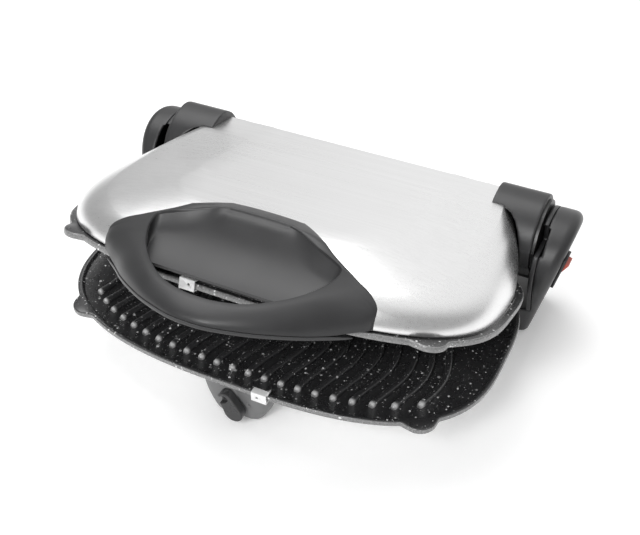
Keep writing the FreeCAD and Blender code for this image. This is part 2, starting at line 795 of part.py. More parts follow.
def handle_solids():
    """Upper shell and bottom cover of the handle."""
    plan = Part.Face(closed_curve(handle_outline())).extrude(Vector(0, 0, FAR / 2))
    plan.translate(Vector(0, 0, value("handle_bottom")))
    whole = plan.common(handle_envelope())
    ahead = box(-FAR, FAR, -FAR, value("scoop_lip"), 0, FAR)
    hollow = hollow_block(0.0).common(scoop(0.0).fuse(ahead))
    beneath = hollow_block(-value("handle_wall")).cut(scoop(value("handle_wall")))
    through = window_block().common(scoop(value("handle_wall")))
    whole = whole.cut(hollow).cut(beneath).cut(lid_room.cut(through))
    whole = whole.cut(plate_outline().inset(-value("fit")).prism(0, lid_edge_z()))
    split = value("bar_split")
    upper = whole.common(box(-FAR, FAR, -FAR, FAR, split, FAR))
    lower = whole.common(box(-FAR, FAR, -FAR, FAR, 0, split))
    return drilled(upper, handle_screws), drilled(lower, handle_screws)


def handle_screw_shapes():
    """One screw up through each side of the hand bar."""
    x = 0.47 * value("handle_half")
    y = (value("bar_inner") + value("scoop_lip")) / 2
    z = value("handle_bottom") + value("screw_head_height")
    return [screw(Vector(side * x, y, z), Vector(0, 0, 1), value("screw_length")) for side in (-1, 1)]


handle_screws = handle_screw_shapes()
on_lid(group("handle_screws", handle_screws))
handle_upper, handle_lower = handle_solids()
on_lid(feature("handle_shell", handle_upper))
on_lid(feature("handle_base", handle_lower))


def lid_cover_shape():
    shell = lid_outer.cut(lid_inner).cut(window_block())
    for side in (-1, 1):
        shell = shell.cut(corner_block(side))
    return shell


on_lid(feature("lid_cover", lid_cover_shape()))


def tray_shape():
    """Thin tray over the upper heater, resting on the back of the plate."""
    rim = plate_underside()
    room = value("element_radius") + value("tray_room")
    front, rear = value("element_front") - room, value("element_rear") + room
    edge = Outline(value("element_half") + room, front, (front + rear) / 2, rear,
                   value("plate_rear_power"), value("plate_rear_power"))
    depth = value("tray_depth")

    def bowl(inset, low, high):
        return Part.makeLoft([edge.inset(inset + value("tray_draft")).wire(low),
                              edge.inset(inset).wire(high)], True, True)
    sheet = value("sheet")
    return bowl(0, rim - depth, rim).cut(bowl(sheet, rim - depth + sheet, rim + 1))


flipped(feature("upper_reflector", tray_shape()))


def lid_frame_shape():
    """Black ring between the upper plate's back and the steel cover, with a rear bar."""
    low = lid_edge_z() - value("fit")
    high = low + value("frame_height")
    wide = value("frame_width")
    edge = lid_sections(0.0)[0][0].inset(value("sheet") + 3 * value("fit"))
    ring = edge.prism(low, high).cut(edge.inset(wide).prism(low - 1, high + 1))
    rear = value("lid_rear_y") - value("sheet") - value("fit")
    ring = ring.common(box(-FAR, FAR, -FAR, rear, 0, FAR))
    half = value("arm_inner") - value("fit")
    edge_line = value("corner_cut") - value("fit")
    bars = box(-half, half, rear - wide, rear, lid_edge_z(), high)
    for side in (-1, 1):
        ring = ring.cut(corner_block(side, -value("fit")))
        far = edge.half - wide
        stay = prism([(half, rear), (half - 2 * wide, rear), (far, edge_line - far - 2 * wide),
                      (far, edge_line - far)], lid_edge_z(), high)
        bars = bars.fuse(stay if side > 0 else mirrored(stay))
    leg = value("plate_top") + value("plate_gap") + clip_drop()
    notch = clip_notch(-value("clip_x"), leg - value("fit"), FAR)
    bars = bars.common(edge.prism(low, high))
    return ring.fuse(bars).cut(notch).removeSplitter()


on_lid(feature("lid_frame", lid_frame_shape()))


# Hinge arms on the lid


def arm_profile(x, scale=1.0):
    """Side view of a hinge arm about the hinge axis: horn over the top, knuckle below."""
    y, z = value("hinge_y"), value("hinge_z")
    knuckle = value("knuckle_radius")
    reach = value("arm_reach")

    def spot(across, up):
        return Vector(x, y + across * scale, z + up * scale)

    nose, chin_drop = value("arm_nose"), value("arm_chin")
    front, shoulder, apex = spot(-nose, 10), spot(-0.6 * reach, 0.72 * reach), spot(-7, reach)
    back, heel = spot(0.22 * reach, 0.88 * reach), spot(0.42 * reach, 0.6 * reach)
    right, bottom = spot(knuckle, 0), spot(0, -knuckle)
    left = spot(-0.7 * knuckle, -0.7 * knuckle)
    chin, lip = spot(-0.53 * nose, -chin_drop), spot(-0.77 * nose, -0.67 * chin_drop)
    return Part.Wire([
        Part.Arc(front, shoulder, apex).toShape(),
        Part.Arc(apex, back, heel).toShape(),
        Part.makeLine(heel, right),
        Part.Arc(right, bottom, left).toShape(),
        Part.makeLine(left, chin),
        Part.makeLine(chin, lip),
        Part.makeLine(lip, front),
    ])


def arm_screw_shapes():
    """Two screws hold the strap on the end of the right arm."""
    shapes = []
    for across, up in ((-0.16, 0.72), (-0.4, 0.28)):
        spot = Vector(value("arm_outer"), value("hinge_y") + across * value("arm_reach"),
                      value("hinge_z") + up * value("arm_reach"))
        shapes.append(screw(spot, Vector(-1, 0, 0), value("screw_length")))
    return shapes


def hinge_rod(radius, x0, x1):
    """Round bar on the hinge axis."""
    y, z = value("hinge_y"), value("hinge_z")
    return rod(radius, Vector(x0, y, z), Vector(x1, y, z))


def arm_shape():
    """Right hinge arm: it caps the lid's rear corner and holds the bush."""
    x0, x1 = value("arm_inner"), value("arm_outer")
    arm = Part.Face(arm_profile(x0)).extrude(Vector(x1 - x0, 0, 0))
    steel = lid_room.cut(corner_block(1, value("fit") / 2))
    arm = arm.cut(steel).cut(hinge_rod(value("bush_radius"), x0 - 1, x1 + 1))
    return drilled(max(arm.Solids, key=lambda solid: solid.Volume), arm_screws)


def strap_shape():
    """Steel strap on the end of the right arm."""
    x0, thick = value("arm_outer"), value("strap_thickness")
    strap = Part.Face(arm_profile(x0, value("strap_scale"))).extrude(Vector(thick, 0, 0))
    strap = strap.cut(hinge_rod(value("pin_radius") + value("pin_clearance"), x0 - 1, x0 + thick + 1))
    return drilled(strap, arm_screws)


def on_hinge(body, side):
    """Move a piece drawn along +X onto the hinge axis, on the right or the left."""
    turn = Rotation(Vector(0, 0, 1), 0 if side > 0 else 180)
    body.Placement = Placement(Vector(0, value("hinge_y"), value("hinge_z")), turn)
    return body


def hinge_bush(label):
    """Bronze bush in the arm."""
    bore = "pin_radius + pin_clearance"
    inner = "arm_outer - pin_length"
    return turned_body(label, [(inner, bore), ("arm_outer", bore), ("arm_outer", "bush_radius"),
                               (inner, "bush_radius")])


arm_screws = arm_screw_shapes()
on_lid(group("arm_screws", arm_screws + [mirrored(shape) for shape in arm_screws]))
right_arm, right_strap = arm_shape(), strap_shape()
for side, name in ((-1, "left"), (1, "right")):
    on_lid(feature("hinge_arm_" + name, right_arm if side > 0 else mirrored(right_arm)))
    on_lid(feature("hinge_strap_" + name, right_strap if side > 0 else mirrored(right_strap)))
    on_lid(on_hinge(hinge_bush("hinge_bush_" + name), side))


# Hinge pods on the base


def tangent_spot(y, z, forward):
    """Where the line from a foot corner touches the pod's dome."""
    across, up = y - value("hinge_y"), z - value("hinge_z")
    distance = math.hypot(across, up)
    angle = math.atan2(up, across) + forward * math.acos(value("pod_radius") / distance)
    return (value("hinge_y") + value("pod_radius") * math.cos(angle),
            value("hinge_z") + value("pod_radius") * math.sin(angle))


def pod_profile(x, inset):
    """Side view of a pod: round dome on the hinge axis, straight legs to the foot."""
    low = value("foot_height") + inset
    radius = value("pod_radius")
    front, rear = value("pod_foot_front") + inset, value("pod_foot_rear") - inset
    front_y, front_z = tangent_spot(value("pod_foot_front"), value("foot_height"), -1)
    rear_y, rear_z = tangent_spot(value("pod_foot_rear"), value("foot_height"), 1)
    shrink = (radius - inset) / radius
    hy, hz = value("hinge_y"), value("hinge_z")

    def on_dome(y, z):
        return Vector(x, hy + (y - hy) * shrink, hz + (z - hz) * shrink)

    arc = Part.Arc(on_dome(rear_y, rear_z), Vector(x, hy, hz + radius - inset), on_dome(front_y, front_z))
    return Part.Wire([
        Part.makeLine(Vector(x, front, low), Vector(x, rear, low)),
        Part.makeLine(Vector(x, rear, low), on_dome(rear_y, rear_z)),
        arc.toShape(),
        Part.makeLine(on_dome(front_y, front_z), Vector(x, front, low)),
    ])


def pod_lean_angle():
    """Lean of a pod's outer face off the vertical, in radians."""
    return math.atan2(value("pod_lean"), value("pod_lean_z") - value("foot_height"))


def pod_outer_x(level):
    """The leaning outer face at a height."""
    return value("pod_outer") + (level - value("pod_lean_z")) * math.tan(pod_lean_angle())


def pod_front(inset):
    """Front view of a pod: upright inner face, outer face that leans in to the table."""
    low, top = value("foot_height"), value("hinge_z") + value("pod_radius") + 1
    inner = value("pod_inner")
    foot = value("pod_foot_inner") + inset
    step = value("pod_foot_height") - inset
    return [(inner, top), (pod_outer_x(top) - inset, top), (pod_outer_x(low) - inset, low),
            (foot, low), (foot, step), (inner, step + value("pod_step"))]


def pod_block(inset):
    start = value("pod_foot_inner") - 1
    block_shape = Part.Face(pod_profile(start, inset)).extrude(Vector(FAR, 0, 0))
    return block_shape.common(front_prism(pod_front(inset), 0, FAR))


def pod_slot():
    """Window at the inner edge of the dome."""
    bottom = value("slot_bottom")
    inner = value("pod_inner")
    depth = value("hinge_y") - 9
    return box(inner - 1, inner + value("slot_width"), 0, depth, bottom, bottom + value("slot_height"))


def switch_place():
    """Frame of the switch: +X out of the right pod's leaning face, +Z up along it."""
    spot = Vector(pod_outer_x(value("switch_z")), value("switch_y"), value("switch_z"))
    return Placement(spot, Rotation(Vector(0, 1, 0), math.degrees(pod_lean_angle())))


def switch_hole():
    rim = value("bezel_rim") - value("fit")
    half_y, half_z = value("switch_width") / 2 - rim, value("switch_height") / 2 - rim
    deep = 2 * value("switch_depth")
    hole = box(-deep, deep, -half_y, half_y, -half_z, half_z)
    hole.Placement = switch_place()
    return hole


def on_pod_rim(edge):
    """Edges all round the leaning face but the one on the foot."""
    ends = [vertex.Point for vertex in edge.Vertexes]
    leaning = all(abs(spot.x - pod_outer_x(spot.z)) < 0.01 for spot in ends)
    return leaning and edge.BoundBox.ZMax > value("foot_height") + 1


def pod_sill():
    """Lower edge of the pod's inner cover."""
    return value("pod_foot_height") + value("pod_step")


def pod_screw_shapes():
    """Two sunk screws hold the inner cover of the right pod."""
    x = value("pod_inner") + value("screw_head_height")
    z = pod_sill() + 1.5 * value("screw_head")
    spots = [Vector(x, value("hinge_y") + across, z) for across in (-13, 13)]
    return [screw(spot, Vector(1, 0, 0), value("screw_length") / 2) for spot in spots]


def foot_places():
    """Plan of the rubber feet: a pair under the front cover and two under each pod."""
    front_y = value("cover_front_bottom") + value("foot_radius") + value("foot_edge")
    pod_x = (value("pod_foot_inner") + value("pod_outer") - value("pod_lean")) / 2
    edge = value("foot_radius") + value("foot_edge")
    ends = (value("pod_foot_front") + edge, value("pod_foot_rear") - edge)
    places = []
    for side in (-1, 1):
        places.append((side * value("cover_half_bottom") * 0.55, front_y))
        places.extend((side * pod_x, y) for y in ends)
    return places


def foot_screw_shapes():
    level = value("foot_height") - 1
    return [screw(Vector(x, y, level), Vector(0, 0, 1), value("screw_length") / 2) for x, y in foot_places()]


def pod_shapes():
    """Outer shell and inner cover of the right pod, before the switch."""
    whole = round_edges(pod_block(0.0), value("pod_round"), on_pod_rim)
    seam = value("pod_inner") + value("pod_cover_thickness")
    slab = box(value("pod_inner") - 1, seam, 0, FAR, pod_sill(), FAR)
    cover = whole.common(slab).cut(pod_slot())
    cover = drilled(cover.cut(hinge_rod(value("pin_radius"), seam - 30, seam + 30)), pod_screws)
    ledge = pod_sill() + 3 * value("screw_head")
    cavity = pod_block(value("pod_wall")).common(box(seam - 0.5, FAR, 0, FAR, ledge, FAR))
    shell = whole.cut(slab).cut(cavity).cut(pod_slot())
    return drilled(shell, pod_screws + foot_screws), cover


pod_screws, foot_screws = pod_screw_shapes(), foot_screw_shapes()
group("pod_screws", pod_screws + [mirrored(shape) for shape in pod_screws])
group("foot_screws", foot_screws)
pod_shell, pod_cover = pod_shapes()
feature("pod_shell_left", mirrored(pod_shell))
feature("pod_shell_right", pod_shell.cut(switch_hole()))
feature("pod_cover_left", mirrored(pod_cover))
feature("pod_cover_right", pod_cover)


def hinge_pin(label):
    """Headed steel pin: the head sits in the pod, the shank runs in the arm's bush."""
    seam = "(pod_inner + pod_cover_thickness)"
    return turned_body(label, [
        ("arm_outer - pin_length", "0"), (seam + " + pin_head_length", "0"),
        (seam + " + pin_head_length", "pin_head_radius"), (seam, "pin_head_radius"),
        (seam, "pin_radius"), ("arm_outer - pin_length", "pin_radius")])


on_hinge(hinge_pin("hinge_pin_left"), -1)
on_hinge(hinge_pin("hinge_pin_right"), 1)


# Switch on the right pod


def switch_body():
    """Bezel on the pod's face and a housing behind it, open for the rocker."""
    half_y, half_z = "switch_width / 2", "switch_height / 2"
    body = padded_body("switch_body", "YZ_Plane", rectangle(half_y, half_z), "bezel_lip")
    housing = rectangle(half_y + " - bezel_rim", half_z + " - bezel_rim")
    add_step(body, "Pad", "switch_housing", "YZ_Plane", housing, "switch_depth", "-switch_depth")
    room = rectangle(half_y + " - bezel_wall", half_z + " - bezel_wall")
    add_step(body, "Pocket", "switch_well", "YZ_Plane", room, "switch_depth + bezel_lip - 3", "bezel_lip")
    body.Placement = switch_place()


def switch_rocker():
    """Rocker with a shallow valley across the middle, tilted with its upper end out."""
    half = "switch_height / 2 - bezel_wall - 1.3"
    rise = "bezel_lip + 1.1"
    width = "(switch_width - 2 * bezel_wall - 2 * fit)"
    corners = [(rise, "-(%s)" % half), (rise + " - 1.7", "0"), (rise, half), ("-3", half), ("-5.5", "0"),
               ("-3", "-(%s)" % half)]
    body = padded_body("switch_rocker", "XZ_Plane", corners, width, "-%s / 2" % width)
    pivot = Vector(-value("rocker_pivot"), 0, 0)
    trunnion = body.newObject("PartDesign::AdditiveCylinder", "rocker_trunnion")
    bind(trunnion, "Radius", "rocker_pivot")
    bind(trunnion, "Height", width + " + fit")
    trunnion.Placement = Placement(pivot, Rotation(Vector(1, 0, 0), -90))
    bind(trunnion, "Placement.Base.y", "-(%s + fit) / 2" % width)
    body.Tip = trunnion
    doc.recompute()
    tilt = Placement(Vector(0, 0, 0), Rotation(Vector(0, 1, 0), value("rocker_tilt")), pivot)
    body.Placement = switch_place().multiply(tilt)


switch_body()
switch_rocker()


# Rear bridge, cord gland and terminal block


def rear_bridge():
    """Hollow bar between the pods with a tongue under the pan."""
    low, high = "foot_height", "(bridge_height - foot_height)"
    deep = "(bridge_rear - bridge_front)"
    bar = block("bridge_bar", ("-pod_foot_inner", "bridge_front", low), ("2 * pod_foot_inner", deep, high))
    reach = "(bridge_front - pan_rear + pan_draft + 20)"
    tongue = block("bridge_tongue", ("-pod_foot_inner / 2", "bridge_front - " + reach, low + " + 1.5"),
                   ("pod_foot_inner", reach, "pan_floor - foot_height - 1.5"))
    room = block("bridge_room", ("pod_wall - pod_foot_inner", "bridge_front + pod_wall", low + " + pod_wall"),
                 ("2 * pod_foot_inner - 2 * pod_wall", deep + " - 2 * pod_wall", high + " - 2 * pod_wall"))
    hole = cylinder("bridge_hole", "gland_neck", "pod_wall + 2",
                    ("gland_x", "bridge_rear - pod_wall - 1", low + " + %s / 2" % high), Vector(0, 1, 0))
    solid = joined("bridge_solid", [bar, tongue])
    keep(minus("bridge_whole", solid, joined("bridge_voids", [room, hole])), "rear_bridge")


rear_bridge()


def cord_gland():
    """Screwed gland for the mains lead in the bridge's rear wall."""
    profile = [("-pod_wall - gland_flange", "gland_bore"), ("gland_flange", "gland_bore"),
               ("gland_flange", "gland_radius"), ("0", "gland_radius"), ("0", "gland_neck"),
               ("-pod_wall", "gland_neck"), ("-pod_wall", "gland_neck + 1"),
               ("-pod_wall - gland_flange", "gland_neck + 1")]
    body = turned_body("cord_gland", profile)
    middle = (value("foot_height") + value("bridge_height")) / 2
    spot = Vector(value("gland_x"), value("bridge_rear"), middle)
    body.Placement = Placement(spot, Rotation(Vector(0, 0, 1), 90))


cord_gland()


def terminal_block():
    """Three-way connector on the bridge floor."""
    low = "(bridge_front + pod_wall + 8)"
    corners = [("gland_x - 50", low), ("gland_x - 20", low), ("gland_x - 20", low + " + 14"),
               ("gland_x - 50", low + " + 14")]
    body = padded_body("terminal_block", "XY_Plane", corners, "9", "foot_height + pod_wall")
    well_corners = [("gland_x - 47", low + " + 4"), ("gland_x - 41", low + " + 4"),
                    ("gland_x - 41", low + " + 10"), ("gland_x - 47", low + " + 10")]
    top = "foot_height + pod_wall + 9"
    well = add_step(body, "Pocket", "terminal_well", "XY_Plane", well_corners, "6", top)
    row = body.newObject("PartDesign::LinearPattern", "terminal_row")
    row.Originals = [well]
    row.Direction = (well.Profile[0], ["H_Axis"])
    row.Length = 18
    row.Occurrences = 3
    body.Tip = row
    doc.recompute()


terminal_block()


# Front cover and latch


def cover_loft(inset, low, high):
    """Boat-shaped cover that hangs below the plate's front edge."""
    full = value("cover_top") - value("foot_height")

    def section(level):
        share = (value("cover_top") - level) / full
        top, bottom = value("cover_half_top"), value("cover_half_bottom")
        half = top + (bottom - top) * share ** 2 - inset
        front_top, front_bottom = value("cover_front_top"), value("cover_front_bottom")
        front = front_top + (front_bottom - front_top) * share + inset
        round_x, round_y = 0.85 * half, value("cover_round")
        nose = [(-half, front + round_y), (-round_x, front + 0.2 * round_y), (0, front),
                (round_x, front + 0.2 * round_y), (half, front + round_y)]
        curve = Part.BSplineCurve()
        curve.interpolate([Vector(x, y, level) for x, y in nose])
        back = value("cover_back")
        rest = Part.makePolygon([Vector(half, front + round_y, level), Vector(half, back, level),
                                 Vector(-half, back, level), Vector(-half, front + round_y, level)])
        return Part.Wire([curve.toShape()] + rest.Edges)

    count = 4
    return Part.makeLoft([section(low + (high - low) * k / count) for k in range(count + 1)], True, True)


def front_cover_shape():
    low, high = value("foot_height"), value("cover_top")
    wall = value("pod_wall")
    cover = cover_loft(0.0, low, high).cut(cover_loft(wall, low + wall, high - wall))
    pivot = Vector(value("latch_x"), value("latch_back") + value("fit"), value("latch_z"))
    inside = Vector(value("latch_x"), value("cover_front_bottom") + wall, value("latch_z"))
    cover = cover.fuse(rod(value("latch_eye"), pivot, inside))
    tip = value("latch_back") - value("latch_thickness") - value("fit") + value("latch_screw_length")
    hole_end = Vector(pivot.x, tip, pivot.z)
    cover = cover.cut(rod(value("latch_screw_radius"), pivot.sub(Vector(0, 1, 0)), hole_end))
    pan = pan_solid(0.0, value("pan_floor"), plate_underside())
    cover = cover.cut(pan)
    return drilled(max(cover.Solids, key=lambda solid: solid.Volume), foot_screws)


feature("front_cover", front_cover_shape())


def latch_shape():
    """Comma-shaped lever: an eye on the pivot and a round finger end below it."""
    x, z = value("latch_x"), value("latch_z")
    back, front = value("latch_back"), value("latch_back") - value("latch_thickness")
    swing = math.radians(value("latch_lean"))
    tip_x = x + value("latch_reach") * math.sin(swing)
    tip_z = z - value("latch_reach") * math.cos(swing)
    eye, head = value("latch_eye"), value("latch_head")
    lever = rod(eye, Vector(x, front, z), Vector(x, back, z))
    lever = lever.fuse(rod(head, Vector(tip_x, front, tip_z), Vector(tip_x, back, tip_z)))
    side_x, side_z = math.cos(swing), math.sin(swing)
    neck = [(x - eye * side_x, z - eye * side_z), (x + eye * side_x, z + eye * side_z),
            (tip_x + head * side_x, tip_z + head * side_z), (tip_x - head * side_x, tip_z - head * side_z)]
    lever = lever.fuse(front_prism(neck, front, back))
    hole = value("latch_screw_radius") + value("fit")
    return lever.cut(rod(hole, Vector(x, front - 1, z), Vector(x, back + 1, z))).removeSplitter()


feature("latch_lever", latch_shape())


def latch_screw():
    """Shouldered screw that the latch lever turns on."""
    face = "(latch_back - latch_thickness - fit)"
    tip = "(latch_back - latch_thickness - fit + latch_screw_length)"
    body = turned_body("latch_screw", [
        (face + " - 1.6", "0"), (tip, "0"), (tip, "latch_screw_radius"), (face, "latch_screw_radius"),
        (face, "2 * latch_screw_radius"), (face + " - 1.6", "2 * latch_screw_radius")])
    body.Placement = Placement(Vector(value("latch_x"), 0, value("latch_z")), Rotation(Vector(0, 0, 1), 90))


latch_screw()


# Plate clips


def plate_clip(label):
    """Sheet clip: a hook over the rim, a face in front of it and a leg under the plate."""
    face = "plate_front - fit"
    front = "plate_front - fit - clip_sheet"
    top = "plate_top + fit + clip_sheet"
    leg = "plate_top + fit + 2 * clip_sheet - clip_height"
    corners = [(front, top), (face + " + clip_reach", top), (face + " + clip_reach", "plate_top + fit"),
               (face, "plate_top + fit"), (face, leg), (face + " + clip_leg", leg),
               (face + " + clip_leg", leg + " - clip_sheet"), (front, leg + " - clip_sheet")]
    return padded_body(label, "YZ_Plane", corners, "2 * clip_half", "clip_x - clip_half")


plate_clip("lower_clip")
flipped(plate_clip("upper_clip"))


# Rubber feet


def rubber_foot(number, x, y):
    """Tapered foot with a stepped hole for its screw."""
    cone = doc.addObject("Part::Cone", "foot_cone_%d" % number)
    bind(cone, "Radius1", "foot_radius - 1")
    bind(cone, "Radius2", "foot_radius")
    bind(cone, "Height", "foot_height")
    cone.Placement.Base = Vector(x, y, 0)
    spot = (str(x), str(y))
    head = cylinder("foot_head_%d" % number, "screw_head + fit", "foot_height", spot + ("-1",))
    shank = cylinder("foot_shank_%d" % number, "screw_radius + fit", "2 * foot_height", spot + ("-1",))
    return minus("foot_%d" % number, cone, joined("foot_hole_%d" % number, [head, shank]))


feet = doc.addObject("Part::Compound", "feet")
feet.Links = [rubber_foot(number, x, y) for number, (x, y) in enumerate(foot_places())]
keep(feet, "rubber_feet")


# Check and write every sub-part


def check_document():
    """Stop on any object that failed or has a bad shape."""
    for item in doc.Objects:
        if "Invalid" in item.State or "Error" in item.State:
            raise RuntimeError("%s is in state %s" % (item.Label, item.State))
        shape = getattr(item, "Shape", None)
        if shape is not None and not item.isDerivedFrom("App::OriginFeature"):
            if shape.isNull() or not shape.isValid():
                raise RuntimeError("%s has a bad shape" % item.Label)


doc.recompute()
check_document()
os.makedirs("parts", exist_ok=True)
for item in nodes:
    item.Shape.exportStep("parts/%s.step" % item.Label)
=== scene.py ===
"""Looks of the sandwich maker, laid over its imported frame.

The builders work in millimetres, and the meshes that they leave are in metres. Lid pieces are drawn
with the lid closed, then turned about the hinge to the propped open rest.
"""

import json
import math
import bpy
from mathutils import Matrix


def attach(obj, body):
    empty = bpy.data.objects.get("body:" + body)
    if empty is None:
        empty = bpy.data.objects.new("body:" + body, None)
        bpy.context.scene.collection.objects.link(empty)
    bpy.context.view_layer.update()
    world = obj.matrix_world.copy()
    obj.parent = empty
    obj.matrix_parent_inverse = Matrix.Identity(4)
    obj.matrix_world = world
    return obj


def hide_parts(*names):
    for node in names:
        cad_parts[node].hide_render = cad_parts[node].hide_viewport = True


bl_info = {
    "name": "Sandwich Maker",
    "version": (1, 0, 0),
    "blender": (4, 5, 0),
    "location": "3D View > Sidebar > Sandwich Maker",
    "description": "Builds the visible pieces, finishes and stage of a sandwich maker on its frame",
    "category": "Object",
}

import bmesh
import bpy
from bpy.props import FloatProperty, FloatVectorProperty, IntProperty, PointerProperty
from bpy.types import Operator, Panel, PropertyGroup
from mathutils import Matrix, Vector

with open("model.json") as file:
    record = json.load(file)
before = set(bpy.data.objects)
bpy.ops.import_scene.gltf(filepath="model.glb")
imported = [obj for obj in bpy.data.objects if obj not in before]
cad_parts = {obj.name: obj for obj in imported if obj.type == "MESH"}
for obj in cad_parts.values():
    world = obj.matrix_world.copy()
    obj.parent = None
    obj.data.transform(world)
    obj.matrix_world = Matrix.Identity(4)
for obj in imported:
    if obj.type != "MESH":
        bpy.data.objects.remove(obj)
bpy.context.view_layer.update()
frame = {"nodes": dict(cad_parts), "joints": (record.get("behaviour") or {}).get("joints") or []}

MM = 0.001
WELD = 1e-6
WHITE = (1.0, 1.0, 1.0, 1.0)
# painted highlight: name of the attribute that marks pale spots at the ribs' front ends
PAINTED_GLINT = "rub"
LID_HINGE = next(joint for joint in frame["joints"] if joint["name"] == "lid_hinge")
HINGE_Y, HINGE_Z = (place / MM for place in LID_HINGE["pos_m"][1:])
OPEN_ANGLE = math.radians(-LID_HINGE["range_deg"][0])

# Levels and places in millimetres with the lid closed, slopes, and powers of curves
PLATE_TOP = 48.0
PLATE_FLOOR = 45.5
PLATE_UNDER = 42.5
CLOSED_MIDDLE = 49.5
LID_EDGE_Z = 56.8
LID_REAR_Y = 114.0
LID_REAR_Z = 111.0
CREASE_SLOPE = 0.167
CROWN_SLOPE = 0.092
TOP_DOME = 1.05
FRONT_FLATTER = 0.9
FRONT_SPREAD = 1.5
CREASE_CUT = 0.8
ARM_CORNER_X = 124.0
ARM_CORNER_REACH = 238.0
PLATE_FRONT_POWER = 2.75
PLATE_REAR_POWER = 4.0


# Sizes and colours that a user may change


def length(name, description, default):
    return FloatProperty(name=name, description=description, default=default, unit="LENGTH",
                         precision=4)


def colour(name, description, default):
    return FloatVectorProperty(name=name, description=description, default=default, size=3,
                               subtype="COLOR", min=0.0, max=1.0)


class PlateSizes(PropertyGroup):
    half_width: length("Half width", "Middle of a plate to the side of its lip", 0.1735)
    front: length("Front", "Front of the lip", -0.108)
    widest: length("Widest", "Depth at which a plate is widest", -0.006)
    rear: length("Rear", "Rear of the lip", 0.094)
    tab_x: length("Tab across", "Middle of a finger tab, to the side", 0.1375)
    tab_y: length("Tab along", "Middle of a finger tab, to the front", -0.078)
    tab_radius: length("Tab radius", "Finger tab", 0.013)
    rib_count: IntProperty(name="Ribs", description="Ribs on a plate", default=22, min=2)
    rib_pitch: length("Rib pitch", "From one rib to the next", 0.01305)
    rib_width: length("Rib width", "Across a rib", 0.005)
    rib_height: length("Rib height", "Rib above the plate's floor", 0.0036)
    rib_wave: length("Rib wave", "Sideways swing of a rib", 0.0065)
    rib_wave_length: length("Rib wave length", "Length of a whole wave", 0.116)
    rib_inset: length("Rib inset", "Lip's edge to the end of the ribs", 0.013)


class LidSizes(PropertyGroup):
    edge_half: length("Half width at edge", "Steel cover at its lower edge", 0.167)
    crease_half: length("Half width at crease", "Steel cover where its side meets its top", 0.1405)
    crown_half: length("Half width of crown", "Flat middle of the top", 0.084)
    sheet: length("Sheet", "Thickness of the steel", 0.0008)
    shoulder: FloatProperty(name="Shoulder", description="Fullness of the rolled ends", default=2.3,
                            min=1.0)


class HandleSizes(PropertyGroup):
    half_width: length("Half width", "Middle to the end of the handle", 0.102)
    crest_height: length("Crest", "Highest line of the closed handle above the table", 0.1007)
    bottom: length("Bottom", "Underside of the hand bar", 0.0495)
    parting: length("Parting line", "Seam between shell and bottom cover", 0.0527)
    scoop_radius: length("Scoop radius", "Round of the hollow's floor", 0.0644)


class SoftEdges(PropertyGroup):
    arm_voxel: length("Arm grain", "Remesh size of the hinge arms", 0.0009)
    pod_voxel: length("Pod grain", "Remesh size of the hinge pods", 0.001)
    passes: IntProperty(name="Smoothing", description="Rounds of smoothing on moulded edges",
                        default=8, min=0)


class Colours(PropertyGroup):
    steel: colour("Brushed steel", "Lid cover", (0.80, 0.80, 0.80))
    bright: colour("Bright steel", "Clips, straps, screws and pins", (0.78, 0.78, 0.78))
    coating: colour("Coating", "Non-stick coat of the plates", (0.024, 0.024, 0.025))
    # paler lip coat: partly painted light on the outer lip face that faces the lamps, partly a worn
    # coat
    lip: colour("Lip", "Rubbed outer edge of the plates", (0.16, 0.16, 0.16))
    specks: colour("Specks", "Flecks in the coat", (0.90, 0.90, 0.90))
    black: colour("Black plastic", "Handle, arms and pods", (0.022, 0.022, 0.023))
    grey: colour("Grey plastic", "Front cover", (0.15, 0.15, 0.152))
    latch: colour("Latch", "Latch lever", (0.028, 0.028, 0.029))
    rocker: colour("Rocker", "Switch rocker", (0.42, 0.075, 0.050))
    floor: colour("Floor", "Table under the part", (0.93, 0.93, 0.93))


class StageSizes(PropertyGroup):
    lens: FloatProperty(name="Lens", description="Focal length on a 36 mm sensor", default=59.7,
                        unit="CAMERA")
    azimuth: FloatProperty(name="Azimuth", description="Camera to the right of the front",
                           default=math.radians(25.80), subtype="ANGLE")
    elevation: FloatProperty(name="Elevation", description="Camera above the horizon",
                             default=math.radians(39.0), subtype="ANGLE")
    camera: FloatVectorProperty(name="Camera", description="Place of the camera",
                                default=(0.2953, -0.5622, 0.5886), size=3, subtype="TRANSLATION",
                                unit="LENGTH")
    key_power: FloatProperty(name="Key light", description="Power of the overhead softbox",
                             default=10.5, unit="POWER")
    front_power: FloatProperty(name="Front lamp", description="Power of the small lamp in front",
                               default=9.0, unit="POWER")
    fill: FloatProperty(name="Fill", description="Brightness of the surrounding light",
                        default=0.66, min=0.0)


# Finishes


class Nodes:
    """A node tree under construction."""

    def __init__(self, tree):
        self.tree = tree

    def plug(self, socket, source):
        """Feed a socket from a link or a plain value."""
        if isinstance(source, bpy.types.NodeSocket):
            self.tree.links.new(source, socket)
        else:
            socket.default_value = source

    def node(self, kind, settings=None, **sources):
        """A node with its sockets filled; _ stands for a space and in0 for the first socket."""
        made = self.tree.nodes.new(kind)
        for key, setting in (settings or {}).items():
            setattr(made, key, setting)
        for key, source in sources.items():
            numbered = key.startswith("in") and key[2:].isdigit()
            self.plug(made.inputs[int(key[2:]) if numbered else key.replace("_", " ")], source)
        return made

    def out(self, kind, settings=None, **sources):
        return self.node(kind, settings, **sources).outputs[0]

    def math(self, operation, first, second=0.0):
        return self.out("ShaderNodeMath", {"operation": operation}, in0=first, in1=second)


